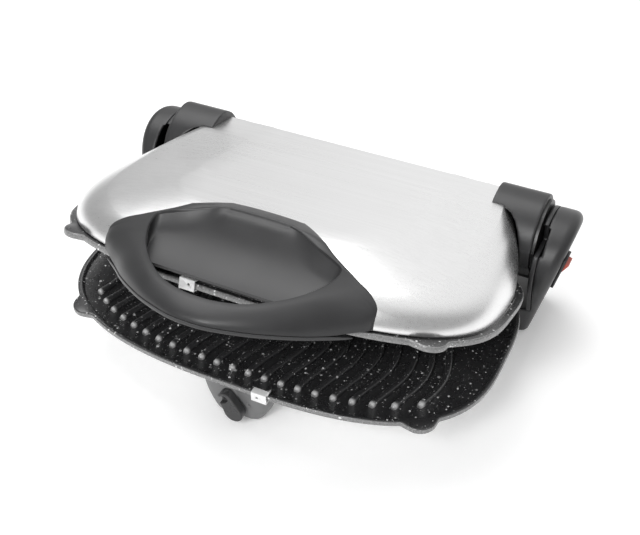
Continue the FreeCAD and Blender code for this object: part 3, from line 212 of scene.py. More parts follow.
class Finish(Nodes):
    """A node material under construction, read in Object coordinates."""

    def __init__(self, name):
        self.material = bpy.data.materials.new(name)
        self.material.use_nodes = True
        super().__init__(self.material.node_tree)
        self.shader = self.tree.nodes["Principled BSDF"]
        self.place = self.node("ShaderNodeTexCoord").outputs["Object"]

    def set(self, **sources):
        for key, source in sources.items():
            self.plug(self.shader.inputs[key.replace("_", " ")], source)

    def stretched(self, scale):
        return self.node("ShaderNodeMapping", Vector=self.place, Scale=scale).outputs["Vector"]

    def noise(self, scale, detail=2.0, place=None):
        return self.node("ShaderNodeTexNoise", Vector=place or self.place, Scale=scale,
                         Detail=detail).outputs["Fac"]

    def cells(self, scale):
        """Distance to the middle of a cell, and two random numbers that each cell has."""
        made = self.node("ShaderNodeTexVoronoi", Vector=self.place, Scale=scale)
        parts = self.node("ShaderNodeSeparateColor", Color=made.outputs["Color"]).outputs
        return made.outputs["Distance"], parts["Red"], parts["Green"]

    def ranged(self, source, low, high, to_low, to_high):
        made = self.node("ShaderNodeMapRange", Value=source, From_Min=low, From_Max=high,
                         To_Min=to_low, To_Max=to_high)
        return made.outputs["Result"]

    def mixed(self, share, first, second):
        """A mixed colour, from the node's colour sockets 6 and 7."""
        return self.node("ShaderNodeMix", {"data_type": "RGBA"}, Factor=share, in6=first,
                         in7=second).outputs[2]

    def drifting(self, source, dark, light, low=0.3, high=0.7):
        """A colour that drifts between two shades with a noise."""
        return self.mixed(self.ranged(source, low, high, 0.0, 1.0), dark, light)

    def bumped(self, height, strength, distance):
        made = self.node("ShaderNodeBump", Height=height, Strength=strength, Distance=distance)
        self.set(Normal=made.outputs["Normal"])


def opaque(shade, factor=1.0):
    return tuple(min(part * factor, 1.0) for part in shade) + (1.0,)


def brushed_steel(shades):
    """Satin sheet with long scratches from side to side."""
    finish = Finish("brushed_steel")
    fine = finish.noise(1.0, 3.0, finish.stretched((9.0, 2600.0, 2600.0)))
    coarse = finish.noise(1.0, 2.0, finish.stretched((4.0, 620.0, 620.0)))
    cloud = finish.noise(9.0, 2.0)
    lines = finish.math("ADD", finish.math("MULTIPLY", fine, 0.6),
                        finish.math("MULTIPLY", coarse, 0.4))
    finish.set(Base_Color=finish.drifting(lines, opaque(shades.steel, 0.95),
                                          opaque(shades.steel, 1.05), 0.32, 0.68))
    rough = finish.math("ADD", finish.ranged(lines, 0.3, 0.7, 0.27, 0.34),
                        finish.ranged(cloud, 0.3, 0.7, -0.03, 0.03))
    finish.set(Metallic=1.0, Roughness=rough)
    finish.bumped(lines, 0.025, 0.00006)
    return finish.material


def sheet_steel(name, shade, rough, metallic=1.0):
    """Plain mill-finish sheet or turned steel with light scuffs."""
    finish = Finish(name)
    scuffs = finish.noise(1.0, 4.0, finish.stretched((60.0, 900.0, 140.0)))
    cloud = finish.noise(45.0, 3.0)
    finish.set(Base_Color=finish.drifting(cloud, opaque(shade, 0.88), opaque(shade, 1.06)),
               Metallic=metallic,
               Roughness=finish.ranged(scuffs, 0.3, 0.7, rough - 0.06, rough + 0.10))
    finish.bumped(scuffs, 0.06, 0.0001)
    return finish.material


def spangled_steel(shades):
    """Coated sheet of the pan and reflectors, with faint crystal spangle."""
    finish = Finish("spangled_steel")
    crystals = finish.cells(150.0)[1]
    cloud = finish.noise(30.0, 3.0)
    finish.set(Base_Color=finish.drifting(cloud, opaque(shades.bright, 0.92),
                                          opaque(shades.bright, 1.12)),
               Metallic=1.0, Roughness=finish.ranged(crystals, 0.0, 1.0, 0.26, 0.44))
    finish.bumped(finish.noise(420.0, 2.0), 0.08, 0.0002)
    return finish.material


def granite(name, shades, base):
    """Dark non-stick coat with pale flecks of several sizes, and a painted highlight where the
    rib-end glint attribute is set.
    """
    finish = Finish(name)
    shade = finish.drifting(finish.noise(900.0, 3.0), opaque(base, 0.7), opaque(base, 1.5))
    flecks = None
    for scale, most, bright in ((170.0, 0.22, 1.0), (310.0, 0.29, 1.0), (650.0, 0.30, 0.6)):
        distance, chance, tone = finish.cells(scale)
        size = finish.math("MULTIPLY", finish.math("POWER", chance, 2.0), most)
        inside = finish.math("SUBTRACT", size, distance)
        spot = finish.ranged(inside, 0.0, 0.05, 0.0, 1.0)
        glow = finish.ranged(tone, 0.0, 1.0, 0.3 * bright, bright)
        layer = finish.math("MULTIPLY", spot, glow)
        flecks = layer if flecks is None else finish.math("MAXIMUM", flecks, layer)
    # painted highlight: the coat turns pale at the spots stored near the ribs' front ends
    glint_spots = finish.node("ShaderNodeAttribute", {"attribute_name": PAINTED_GLINT})
    wear_and_glint = finish.math("MULTIPLY", glint_spots.outputs["Fac"], 0.8)
    coat = finish.mixed(wear_and_glint, shade, opaque(shades.specks, 0.8))
    finish.set(Base_Color=finish.mixed(flecks, coat, opaque(shades.specks)))
    finish.set(Roughness=finish.ranged(finish.noise(160.0, 3.0), 0.3, 0.7, 0.25, 0.32),
               Specular_IOR_Level=0.9)
    finish.bumped(finish.noise(1500.0, 2.0), 0.12, 0.0001)
    return finish.material


def moulded(name, shade, rough, grain):
    """Moulded plastic with a spark-eroded grain and slight wear."""
    finish = Finish(name)
    pores = finish.noise(2400.0, 2.0)
    cloud = finish.noise(38.0, 4.0)
    wear_and_glint = finish.drifting(cloud, opaque(shade, 0.90), opaque(shade, 1.12), 0.35, 0.65)
    pale = finish.ranged(pores, 0.35, 0.65, 0.0, 0.35)
    finish.set(Base_Color=finish.mixed(pale, wear_and_glint, opaque(shade, 1.25)),
               Roughness=finish.ranged(cloud, 0.3, 0.7, rough - 0.04, rough + 0.05))
    finish.bumped(pores, grain, 0.00012)
    return finish.material


def mottled(name, dark, light, noises, rough, metallic, drift=(0.3, 0.7), bump=(0.15, 0.0002)):
    """Two shades that drift into each other: heat tint, fired clay or sintered metal."""
    finish = Finish(name)
    tone, sheen, grain = (finish.noise(*noise) for noise in noises)
    finish.set(Base_Color=finish.drifting(tone, opaque(dark), opaque(light), *drift),
               Metallic=metallic, Roughness=finish.ranged(sheen, 0.3, 0.7, *rough))
    finish.bumped(grain, *bump)
    return finish.material


FINISH_MAKERS = {
    "brushed_steel": brushed_steel,
    "spangled_steel": spangled_steel,
    "granite_coat": lambda shades: granite("granite_coat", shades, shades.coating),
    # paler copy of the coat for the lip: partly painted light, partly wear
    "granite_edge": lambda shades: granite("granite_edge", shades, shades.lip),
    "heat_tinted_tube": lambda shades: mottled(
        "heat_tinted_tube", (0.10, 0.075, 0.06), (0.09, 0.10, 0.13),
        ((26.0, 4.0), (300.0, 2.0), (900.0, 2.0)), (0.42, 0.60), 0.9, drift=(0.35, 0.65)),
    "pale_ceramic": lambda shades: mottled(
        "pale_ceramic", (0.66, 0.62, 0.54), (0.78, 0.75, 0.68),
        ((120.0, 4.0), (800.0, 2.0), (1600.0, 2.0)), (0.5, 0.7), 0.0),
    "sintered_bronze": lambda shades: mottled(
        "sintered_bronze", (0.36, 0.20, 0.09), (0.55, 0.33, 0.15), 3 * ((1400.0, 3.0),),
        (0.30, 0.50), 1.0, bump=(0.20, 0.0001)),
    "bright_steel": lambda shades: sheet_steel("bright_steel", shades.bright, 0.22),
    "black_moulding": lambda shades: moulded("black_moulding", shades.black, 0.40, 0.16),
    "grey_moulding": lambda shades: moulded("grey_moulding", shades.grey, 0.42, 0.16),
    "latch_moulding": lambda shades: moulded("latch_moulding", shades.latch, 0.26, 0.06),
    "plated_steel": lambda shades: sheet_steel("plated_steel", (0.86, 0.86, 0.86), 0.34, 0.2),
    # painted shade: near-black steel for the hinge straps, so that their edges read as the shadow
    # under the arms
    "burnished_steel": lambda shades: sheet_steel("burnished_steel", (0.07, 0.07, 0.07), 0.4),
    "dark_screw": lambda shades: sheet_steel("dark_screw", (0.03, 0.03, 0.03), 0.38),
    "red_moulding": lambda shades: moulded("red_moulding", shades.rocker, 0.28, 0.05),
    "foot_rubber": lambda shades: moulded("foot_rubber", (0.016, 0.016, 0.016), 0.72, 0.35),
}


def finish_named(name):
    """The material of that name, made when it is first asked for."""
    made = bpy.data.materials.get(name)
    return made or FINISH_MAKERS[name](bpy.context.scene.grill_colours)


# Shapes


class Outline:
    """Closed plan curve: a superellipse in front of its widest line and another behind it."""

    def __init__(self, half, front, wide, rear, front_power, rear_power):
        self.half, self.front, self.wide, self.rear = half, front, wide, rear
        self.front_power, self.rear_power = front_power, rear_power

    def mix(self, other, share):
        def between(a, b):
            return a + (b - a) * share
        return Outline(between(self.half, other.half), between(self.front, other.front),
                       between(self.wide, other.wide), between(self.rear, other.rear),
                       between(self.front_power, other.front_power),
                       between(self.rear_power, other.rear_power))

    def reach(self, angle, inset=0.0):
        behind = math.sin(angle) >= 0
        power = self.rear_power if behind else self.front_power
        depth = (self.rear - self.wide if behind else self.wide - self.front) - inset
        across = abs(math.cos(angle)) / (self.half - inset)
        along = abs(math.sin(angle)) / depth
        return (across ** power + along ** power) ** (-1.0 / power)

    def point(self, angle):
        reach = self.reach(angle)
        return reach * math.cos(angle), self.wide + reach * math.sin(angle)


class RolledOutline(Outline):
    """A ring of the lid's rolled side, which is fuller at the ends than at the front."""

    def __init__(self, edge, crease, height, fullness):
        self.edge, self.crease, self.height, self.fullness = edge, crease, height, fullness
        self.wide = edge.wide + (crease.wide - edge.wide) * height

    def reach(self, angle, inset=0.0):
        ahead = max(-math.sin(angle), 0.0) ** FRONT_SPREAD
        power = self.fullness - FRONT_FLATTER * ahead
        bulge = (1.0 - (CREASE_CUT * self.height) ** power) ** (1.0 / power)
        top = (1.0 - CREASE_CUT ** power) ** (1.0 / power)
        inward = (1.0 - bulge) / (1.0 - top)
        return self.edge.mix(self.crease, inward).reach(angle, inset)


def opened(x, y, z):
    """A point of the closed lid, with the lid propped open."""
    back, up = y - HINGE_Y, z - HINGE_Z
    turn, rise = math.cos(OPEN_ANGLE), math.sin(OPEN_ANGLE)
    return x, HINGE_Y + back * turn + up * rise, HINGE_Z - back * rise + up * turn


def on_upper_plate(x, y, z):
    """A point of the lower plate, turned over and lifted to the upper one."""
    return opened(-x, y, 2 * CLOSED_MIDDLE - z)


def tube_faces(rings, size):
    """Quads between closed rings of points that follow each other."""
    faces = []
    for low in range(0, (rings - 1) * size, size):
        for step in range(size):
            after, high = (step + 1) % size, low + size
            faces.append((low + step, low + after, high + after, high + step))
    return faces


def capped_faces(rings, size):
    """Faces of a tube with a face over each end."""
    caps = [tuple(range(first, first + size)) for first in (0, (rings - 1) * size)]
    return tube_faces(rings, size) + caps


def fan_faces(first, size, middle):
    """Triangles from a ring of points to a point in its middle."""
    return [(first + step, first + (step + 1) % size, middle) for step in range(size)]


def new_piece(name, points, faces):
    """An object from points in millimetres."""
    mesh = bpy.data.meshes.new(name)
    mesh.from_pydata([Vector(point) * MM for point in points], [], faces)
    mesh.validate()
    return linked(name, mesh)


def linked(name, mesh):
    piece = bpy.data.objects.new(name, mesh)
    bpy.context.scene.collection.objects.link(piece)
    return piece


def reworked(mesh, work):
    """Run bmesh steps on a mesh."""
    sheet = bmesh.new()
    sheet.from_mesh(mesh)
    work(sheet)
    sheet.to_mesh(mesh)
    sheet.free()
    mesh.update()


def outward(sheet):
    bmesh.ops.remove_doubles(sheet, verts=sheet.verts, dist=WELD)
    bmesh.ops.recalc_face_normals(sheet, faces=sheet.faces)


def sliced(sheet, spot, direction, clear=False):
    """Cut a whole mesh along a plane, and give the cut's points and edges."""
    whole = sheet.verts[:] + sheet.edges[:] + sheet.faces[:]
    return bmesh.ops.bisect_plane(sheet, geom=whole, plane_co=spot, plane_no=direction,
                                  clear_outer=clear)["geom_cut"]


def baked(piece):
    """Turn a piece's modifiers into its mesh."""
    graph = bpy.context.evaluated_depsgraph_get()
    graph.update()
    mesh = bpy.data.meshes.new_from_object(piece.evaluated_get(graph))
    mesh.name = piece.name
    piece.modifiers.clear()
    piece.data = mesh
    return piece


def thickened(piece, thickness):
    """Give a sheet its thickness, behind its outer face."""
    wall = piece.modifiers.new("wall", "SOLIDIFY")
    wall.thickness = thickness
    wall.offset = -1.0
    return baked(piece)


def shaded(piece, degrees):
    """Smooth faces, with sharp edges kept above an angle."""
    for face in piece.data.polygons:
        face.use_smooth = True
    piece.data.set_sharp_from_angle(angle=math.radians(degrees))


def placed(piece, finish, body, slot, *nodes):
    """Give a finished piece its material and its place in the frame."""
    if piece.data.materials:
        piece.data.materials[0] = finish_named(finish)
    else:
        piece.data.materials.append(finish_named(finish))
    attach(piece, body)
    if nodes:
        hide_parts(*nodes)
    return piece


def merged_copy(node, name):
    """A copy of a CAD node with its loose triangles joined."""
    mesh = frame["nodes"][node].data.copy()
    reworked(mesh, lambda sheet: bmesh.ops.remove_doubles(sheet, verts=sheet.verts, dist=WELD))
    return linked(name, mesh)


def prism(name, outline, start, end, moved=None):
    """A straight-sided solid over an outline in X and Z, from start to end along Y."""
    count = len(outline)
    points = [(x, y, z) for y in (start, end) for x, z in outline]
    faces = [tuple(range(count)), tuple(range(2 * count - 1, count - 1, -1))]
    for side in range(count):
        after = (side + 1) % count
        faces.append((side, after, count + after, count + side))
    piece = new_piece(name, [moved(*point) for point in points] if moved else points, faces)
    reworked(piece.data, outward)
    return piece


def round_outline(x, z, radius, count=20):
    turns = [math.tau * step / count for step in range(count)]
    return [(x + radius * math.cos(turn), z + radius * math.sin(turn)) for turn in turns]


def combined(piece, other, operation):
    """Cut a helper solid out of a piece, or join it on."""
    step = piece.modifiers.new("shape", "BOOLEAN")
    step.operation = operation
    step.solver = "EXACT"
    step.object = other
    baked(piece)
    bpy.data.objects.remove(other)


def softened(node, name, voxel, passes, *hollows):
    """A copy of a CAD node whose edges are rounded all over, with helper solids cut out."""
    piece = merged_copy(node, name)
    for hollow in hollows:
        combined(piece, hollow, "DIFFERENCE")
    remesh = piece.modifiers.new("even_grain", "REMESH")
    remesh.mode = "VOXEL"
    remesh.voxel_size = voxel
    smooth = piece.modifiers.new("soft_edges", "SMOOTH")
    smooth.factor = 0.5
    smooth.iterations = passes
    baked(piece)
    shaded(piece, 180)
    return piece


def bevelled(piece, width, segments=3):
    """Small rounded edges on a flat-sided piece."""
    reworked(piece.data, lambda sheet: bmesh.ops.dissolve_limit(
        sheet, angle_limit=math.radians(1.0), verts=sheet.verts, edges=sheet.edges))
    bevel = piece.modifiers.new("small_rounds", "BEVEL")
    bevel.width = width * MM
    bevel.segments = segments
    bevel.limit_method = "ANGLE"
    bevel.angle_limit = math.radians(40)
    bevel.harden_normals = True
    baked(piece)
    shaded(piece, 40)
    return piece


# Steel lid cover


def steel_outlines(sizes):
    """Edge, crease and crown of the cover in plan."""
    edge = Outline(sizes.edge_half / MM, -105.0, -6.0, 172.0, 2.75, 2.3)
    crease = Outline(sizes.crease_half / MM, -100.0, -9.5, 193.0, 2.75, 2.6)
    crown = Outline(sizes.crown_half / MM, -64.0, -9.5, 193.0, 2.75, 2.6)
    return edge, crease, crown


def steel_rings(sizes):
    """Outline, level, slope and shrinking of each ring, from the edge over the crease inward."""
    edge, crease, crown = steel_outlines(sizes)
    crease_level = LID_REAR_Z - CREASE_SLOPE * LID_REAR_Y
    crown_level = LID_REAR_Z - CROWN_SLOPE * LID_REAR_Y
    rings = []
    side_steps, top_steps = 22, 12
    for step in range(side_steps + 1):
        height = math.sin(0.5 * math.pi * step / side_steps)
        outline = RolledOutline(edge, crease, height, sizes.shoulder)
        level = LID_EDGE_Z + (crease_level - LID_EDGE_Z) * height
        rings.append((outline, level, CREASE_SLOPE * height, 1.0))
    for step in range(1, top_steps + 1):
        share = step / top_steps
        rise = 1.0 - (1.0 - share) ** TOP_DOME
        rings.append((crease.mix(crown, share), crease_level + (crown_level - crease_level) * rise,
                      CREASE_SLOPE + (CROWN_SLOPE - CREASE_SLOPE) * rise, 1.0))
    for shrink in (0.8, 0.6, 0.4, 0.2):
        rings.append((crown, crown_level, CROWN_SLOPE, shrink))
    return rings


def steel_level(rings, x, y):
    """Height of the closed cover's outer face over a point of the plan."""
    level, inside = None, 0.0
    for outline, height, slope, shrink in rings:
        if shrink < 1.0:
            break
        gap = outline.reach(math.atan2(y - outline.wide, x)) - math.hypot(x, y - outline.wide)
        here = height + slope * y
        if gap < 0.0:
            return None if level is None else level + (here - level) * inside / (inside - gap)
        level, inside = here, gap
    return level


def steel_sheet(sizes):
    """The cover's outer face, uncut."""
    count = 256
    points = []
    rings = steel_rings(sizes)
    for outline, level, slope, shrink in rings:
        for step in range(count):
            x, y = outline.point(math.tau * step / count)
            x, y = x * shrink, outline.wide + (y - outline.wide) * shrink
            points.append((x, y, level + slope * y))
    faces = tube_faces(len(rings), count)
    faces += fan_faces(len(points) - count, count, len(points))
    crown, level, slope, _ = rings[-1]
    points.append((0.0, crown.wide, level + slope * crown.wide))
    return points, faces


# right half of the gap in the steel under the handle, from its back to far in front
HANDLE_WINDOW = [(28.5, -60.5), (56.5, -74.5), (82.5, -86.0), (95.0, -92.0), (95.0, -400.0)]


def cut_steel(sheet):
    """Square off the rear, close it with a wall, and cut the handle window and the arm corners."""
    bmesh.ops.recalc_face_normals(sheet, faces=sheet.faces)
    cut = sliced(sheet, (0, LID_REAR_Y * MM, 0), (0, 1, 0), clear=True)
    rim = [item for item in cut if isinstance(item, bmesh.types.BMVert)]
    rim.sort(key=lambda vertex: vertex.co.x)
    wall = sheet.faces.new(rim)
    if wall.normal.y < 0:
        wall.normal_flip()
    corners = HANDLE_WINDOW + [(-x, y) for x, y in reversed(HANDLE_WINDOW)]
    for (x0, y0), (x1, y1) in zip(corners, corners[1:]):
        sliced(sheet, (x0 * MM, y0 * MM, 0), (y1 - y0, x0 - x1, 0))
    for side in (-1, 1):
        sliced(sheet, (side * ARM_CORNER_X * MM, 0, 0), (1, 0, 0))
        sliced(sheet, (side * ARM_CORNER_REACH * MM, 0, 0), (side, 1, 0))
    bmesh.ops.triangulate(sheet, faces=[face for face in sheet.faces if len(face.verts) > 4])

    def dropped(face):
        spot = face.calc_center_median() / MM
        across = abs(spot.x)
        corner = across > ARM_CORNER_X and across + spot.y > ARM_CORNER_REACH
        return corner or in_window(across, spot.y)

    gone = [face for face in sheet.faces if dropped(face)]
    bmesh.ops.delete(sheet, geom=gone, context="FACES")
    bmesh.ops.remove_doubles(sheet, verts=sheet.verts, dist=WELD)


def in_window(x, y):
    """Whether a point to the right of the middle lies in the handle window."""
    if x >= HANDLE_WINDOW[-1][0]:
        return False
    if x <= HANDLE_WINDOW[0][0]:
        return y < HANDLE_WINDOW[0][1]
    for (x0, y0), (x1, y1) in zip(HANDLE_WINDOW, HANDLE_WINDOW[1:-1]):
        if x0 <= x <= x1:
            return y < y0 + (y1 - y0) * (x - x0) / (x1 - x0)
    return False


def open_mesh(mesh):
    """Turn a mesh drawn on the closed lid to the rest position."""
    for vertex in mesh.vertices:
        vertex.co = Vector(opened(*(vertex.co / MM))) * MM


class GRILL_OT_steel_lid(Operator):
    """Build the brushed steel cover of the lid"""
    bl_idname = "grill.steel_lid"
    bl_label = "Steel lid cover"

    def execute(self, context):
        sizes = context.scene.grill_lid
        piece = new_piece("steel_lid_cover", *steel_sheet(sizes))
        reworked(piece.data, cut_steel)
        open_mesh(piece.data)
        thickened(piece, sizes.sheet)
        shaded(piece, 40)
        placed(piece, "brushed_steel", "lid", "lid_steel", "lid_cover")
        return {"FINISHED"}


# Cooking plates


TAB_BLEND = 3.0


def plate_outline(sizes):
    return Outline(sizes.half_width / MM, sizes.front / MM, sizes.widest / MM, sizes.rear / MM,
                   PLATE_FRONT_POWER, PLATE_REAR_POWER)


def lip_reach(outline, sizes, angle, inset):
    """Distance to the lip's edge, with the two finger tabs blended on."""
    reach = outline.reach(angle, inset)
    radius = sizes.tab_radius / MM - inset
    across, along = sizes.tab_x / MM, sizes.tab_y / MM - outline.wide
    for side in (-1, 1):
        far = math.hypot(across, along)
        off = angle - math.atan2(along, side * across)
        room = radius ** 2 - (far * math.sin(off)) ** 2
        if room > 0 and math.cos(off) > 0:
            tab = far * math.cos(off) + math.sqrt(room)
            blend = max(TAB_BLEND - abs(tab - reach), 0.0) / TAB_BLEND
            reach = max(tab, reach) + 0.25 * TAB_BLEND * blend ** 2
    return reach


LIP_EDGE_ROWS = range(4, 8)
# inset from the lip's edge, level, whether the finger tabs show there
PLATE_PROFILE = [(60.0, PLATE_UNDER, False), (5.8, PLATE_UNDER, False), (5.1, 43.0, False),
                 (5.0, 43.4, False), (0.8, 43.5, True), (0.2, 43.85, True), (0.0, 44.6, True),
                 (0.0, 47.0, True), (0.25, 47.6, True), (0.9, PLATE_TOP, True),
                 (2.8, PLATE_TOP, False), (3.5, 47.8, False), (4.05, 47.1, False),
                 (4.5, 46.1, False), (5.4, PLATE_FLOOR, False), (60.0, PLATE_FLOOR, False)]


def plate_casting(sizes):
    """Rings of the plate from its underside round the lip to its floor."""
    outline = plate_outline(sizes)
    count = 480
    points = []
    for inset, level, tabbed in PLATE_PROFILE:
        for step in range(count):
            angle = math.tau * step / count
            if tabbed:
                reach = lip_reach(outline, sizes, angle, inset)
            else:
                reach = outline.reach(angle, inset)
            points.append((reach * math.cos(angle), outline.wide + reach * math.sin(angle), level))
    faces = tube_faces(len(PLATE_PROFILE), count)
    for ring, level in ((0, PLATE_UNDER), (len(PLATE_PROFILE) - 1, PLATE_FLOOR)):
        faces += fan_faces(ring * count, count, len(points))
        points.append((0.0, outline.wide, level))
    return points, faces


class GRILL_OT_cooking_plates(Operator):
    """Build the two cast cooking plates with lip, rim and finger tabs"""
    bl_idname = "grill.cooking_plates"
    bl_label = "Cooking plates"

    def execute(self, context):
        points, faces = plate_casting(context.scene.grill_plates)
        lower = new_piece("lower_cooking_plate", points, faces)
        lifted = [on_upper_plate(*point) for point in points]
        upper = new_piece("upper_cooking_plate", lifted, faces)
        for piece, body, node in ((lower, "base", "lower_plate"), (upper, "lid", "upper_plate")):
            step = len(piece.data.polygons) // (len(PLATE_PROFILE) + 1)
            # the lip's outer rows take the paler coat, which is partly painted light
            for row in LIP_EDGE_ROWS:
                for face in piece.data.polygons[row * step:(row + 1) * step]:
                    face.material_index = 1
            reworked(piece.data, outward)
            shaded(piece, 50)
            placed(piece, "granite_coat", body, "coated_plate", node)
            piece.data.materials.append(finish_named("granite_edge"))
        return {"FINISHED"}


class NodeTree(Nodes):
    """A Geometry Nodes tree under construction, with named inputs."""

    def __init__(self, name):
        super().__init__(bpy.data.node_groups.new(name, "GeometryNodeTree"))
        self.sockets = {}
        for way in ("INPUT", "OUTPUT"):
            self.tree.interface.new_socket("Geometry", in_out=way, socket_type="NodeSocketGeometry")
        self.start = self.tree.nodes.new("NodeGroupInput")
        self.end = self.tree.nodes.new("NodeGroupOutput")

    def input(self, name, kind="NodeSocketFloat"):
        socket = self.tree.interface.new_socket(name, in_out="INPUT", socket_type=kind)
        self.sockets[name] = socket.identifier
        return self.start.outputs[name]

    def finish(self, geometry, material):
        real = self.out("GeometryNodeRealizeInstances", Geometry=geometry)
        done = self.out("GeometryNodeSetMaterial", Geometry=real, Material=material)
        self.plug(self.end.inputs[0], done)

    def run(self, piece, **values):
        """Make a piece's mesh with the tree and the given inputs."""
        modifier = piece.modifiers.new(self.tree.name, "NODES")
        modifier.node_group = self.tree
        for key, value in values.items():
            modifier[self.sockets[key]] = value
        baked(piece)
        return piece


RIB_INPUTS = ("Pitch", "Width", "Height", "Wave", "Wave_Length", "Crest", "Half", "Front", "Rear",
              "Widest", "Floor")
# places and lengths on a rib in metres, and shares of its width
RIB_CREST = -0.038
RIB_POINTS = 150
RIB_ROUND = 0.42
RIB_SINK = 0.4  # millimetres
SHORTEST_END = 0.0002
THINNEST_END = 0.02
# place and spread of the painted highlight, measured in from a rib's front end
GLINT_MIDDLE = 0.0026
GLINT_SPREAD = 0.0014


def rib_room(tree, given, place):
    """Distance to the edge of the ribbed area along Y, and 1 behind the widest line."""
    across = tree.math("DIVIDE", tree.math("ABSOLUTE", place["X"]), given["Half"])
    across = tree.math("MINIMUM", across, 1.0)
    along = tree.math("SUBTRACT", place["Y"], given["Widest"])
    behind = tree.math("GREATER_THAN", along, 0.0)
    power = tree.math("MULTIPLY", behind, PLATE_REAR_POWER - PLATE_FRONT_POWER)
    power = tree.math("ADD", power, PLATE_FRONT_POWER)
    rear_deep = tree.math("SUBTRACT", given["Rear"], given["Widest"])
    front_deep = tree.math("SUBTRACT", given["Widest"], given["Front"])
    extra = tree.math("MULTIPLY", behind, tree.math("SUBTRACT", rear_deep, front_deep))
    deep = tree.math("ADD", front_deep, extra)
    left = tree.math("SUBTRACT", 1.0, tree.math("POWER", across, power))
    end = tree.math("MULTIPLY", deep, tree.math("POWER", left, tree.math("DIVIDE", 1.0, power)))
    return tree.math("SUBTRACT", end, tree.math("ABSOLUTE", along)), behind


def rib_tree():
    """Waved ribs side by side, cut to the ribbed area, with rounded tops and a painted highlight at
    each front end.
    """
    tree = NodeTree("waved_ribs")
    given = {name: tree.input(name) for name in RIB_INPUTS}
    count = tree.input("Count", "NodeSocketInt")
    material = tree.input("Material", "NodeSocketMaterial")
    width = tree.math("MULTIPLY", tree.math("SUBTRACT", count, 1.0), given["Pitch"])
    start = tree.out("ShaderNodeCombineXYZ", X=tree.math("MULTIPLY", width, -0.5), Z=given["Floor"])
    step = tree.out("ShaderNodeCombineXYZ", X=given["Pitch"])
    row = tree.out("GeometryNodeMeshLine", Count=count, Start_Location=start, Offset=step)
    front = tree.out("ShaderNodeCombineXYZ", Y=given["Front"])
    rear = tree.out("ShaderNodeCombineXYZ", Y=given["Rear"])
    line = tree.out("GeometryNodeCurvePrimitiveLine", Start=front, End=rear)
    line = tree.out("GeometryNodeResampleCurve", Curve=line, Count=RIB_POINTS)
    lines = tree.out("GeometryNodeInstanceOnPoints", Points=row, Instance=line)
    lines = tree.out("GeometryNodeRealizeInstances", Geometry=lines)

    position = tree.out("GeometryNodeInputPosition")
    place = tree.node("ShaderNodeSeparateXYZ", Vector=position).outputs
    turns = tree.math("SUBTRACT", place["Y"], given["Crest"])
    turns = tree.math("DIVIDE", turns, given["Wave_Length"])
    swing = tree.math("COSINE", tree.math("MULTIPLY", turns, math.tau))
    shift = tree.math("MULTIPLY", tree.math("SUBTRACT", swing, 0.5), given["Wave"])
    offset = tree.out("ShaderNodeCombineXYZ", X=shift)
    lines = tree.out("GeometryNodeSetPosition", Geometry=lines, Offset=offset)

    room, behind = rib_room(tree, given, place)
    outside = tree.math("LESS_THAN", room, SHORTEST_END)
    lines = tree.out("GeometryNodeDeleteGeometry", {"domain": "POINT"}, Geometry=lines,
                     Selection=outside)
    share = tree.math("MINIMUM", tree.math("DIVIDE", room, given["Width"]), 1.0)
    away = tree.math("SUBTRACT", 1.0, share)
    left = tree.math("SUBTRACT", 1.0, tree.math("MULTIPLY", away, away))
    radius = tree.math("SQRT", tree.math("MAXIMUM", left, THINNEST_END))

    # painted highlight: a pale spot near each rib's front end, kept off the rear ends
    apart = tree.math("DIVIDE", tree.math("SUBTRACT", room, GLINT_MIDDLE), GLINT_SPREAD)
    spot = tree.math("MULTIPLY", tree.math("MULTIPLY", apart, apart), -1.0)
    spot = tree.math("EXPONENT", spot)
    rub = tree.math("MULTIPLY", spot, tree.math("SUBTRACT", 1.0, behind))
    lines = tree.out("GeometryNodeStoreNamedAttribute", {"data_type": "FLOAT", "domain": "POINT"},
                     Geometry=lines, Name=PAINTED_GLINT, Value=rub)
    lines = tree.out("GeometryNodeSetCurveNormal", {"mode": "Z_UP"}, Curve=lines)
    bar = tree.out("GeometryNodeCurvePrimitiveQuadrilateral", Width=given["Width"],
                   Height=tree.math("MULTIPLY", given["Height"], 2.0))
    bar = tree.out("GeometryNodeFilletCurve", {"mode": "POLY"}, Curve=bar, Count=4,
                   Radius=tree.math("MULTIPLY", given["Width"], RIB_ROUND))
    bars = tree.out("GeometryNodeCurveToMesh", Curve=lines, Profile_Curve=bar, Scale=radius,
                    Fill_Caps=True)
    tree.finish(tree.out("GeometryNodeSetShadeSmooth", Geometry=bars), material)
    return tree


def trim_below(mesh, level):
    """Cut a mesh off under a level and close it."""
    def work(sheet):
        cut = sliced(sheet, (0, 0, level), (0, 0, -1), clear=True)
        edges = [item for item in cut if isinstance(item, bmesh.types.BMEdge)]
        bmesh.ops.edgenet_fill(sheet, edges=edges)
        outward(sheet)
    reworked(mesh, work)


class GRILL_OT_plate_ribs(Operator):
    """Raise the waved ribs on both cooking plates"""
    bl_idname = "grill.plate_ribs"
    bl_label = "Plate ribs"

    def execute(self, context):
        sizes = context.scene.grill_plates
        inset = sizes.rib_inset
        lower = rib_tree().run(
            linked("lower_plate_ribs", bpy.data.meshes.new("rib_seed")),
            Pitch=sizes.rib_pitch, Width=sizes.rib_width, Height=sizes.rib_height,
            Wave=sizes.rib_wave, Wave_Length=sizes.rib_wave_length, Crest=RIB_CREST,
            Half=sizes.half_width - inset, Front=sizes.front + inset, Rear=sizes.rear - inset,
            Widest=sizes.widest, Floor=PLATE_FLOOR * MM, Count=sizes.rib_count,
            Material=finish_named("granite_coat"))
        trim_below(lower.data, (PLATE_FLOOR - RIB_SINK) * MM)
        upper = linked("upper_plate_ribs", lower.data.copy())
        for vertex in upper.data.vertices:
            vertex.co = Vector(on_upper_plate(*(vertex.co / MM))) * MM
        for piece, body in ((lower, "base"), (upper, "lid")):
            shaded(piece, 60)
            placed(piece, "granite_coat", body, "coated_plate")
        return {"FINISHED"}


# Handle


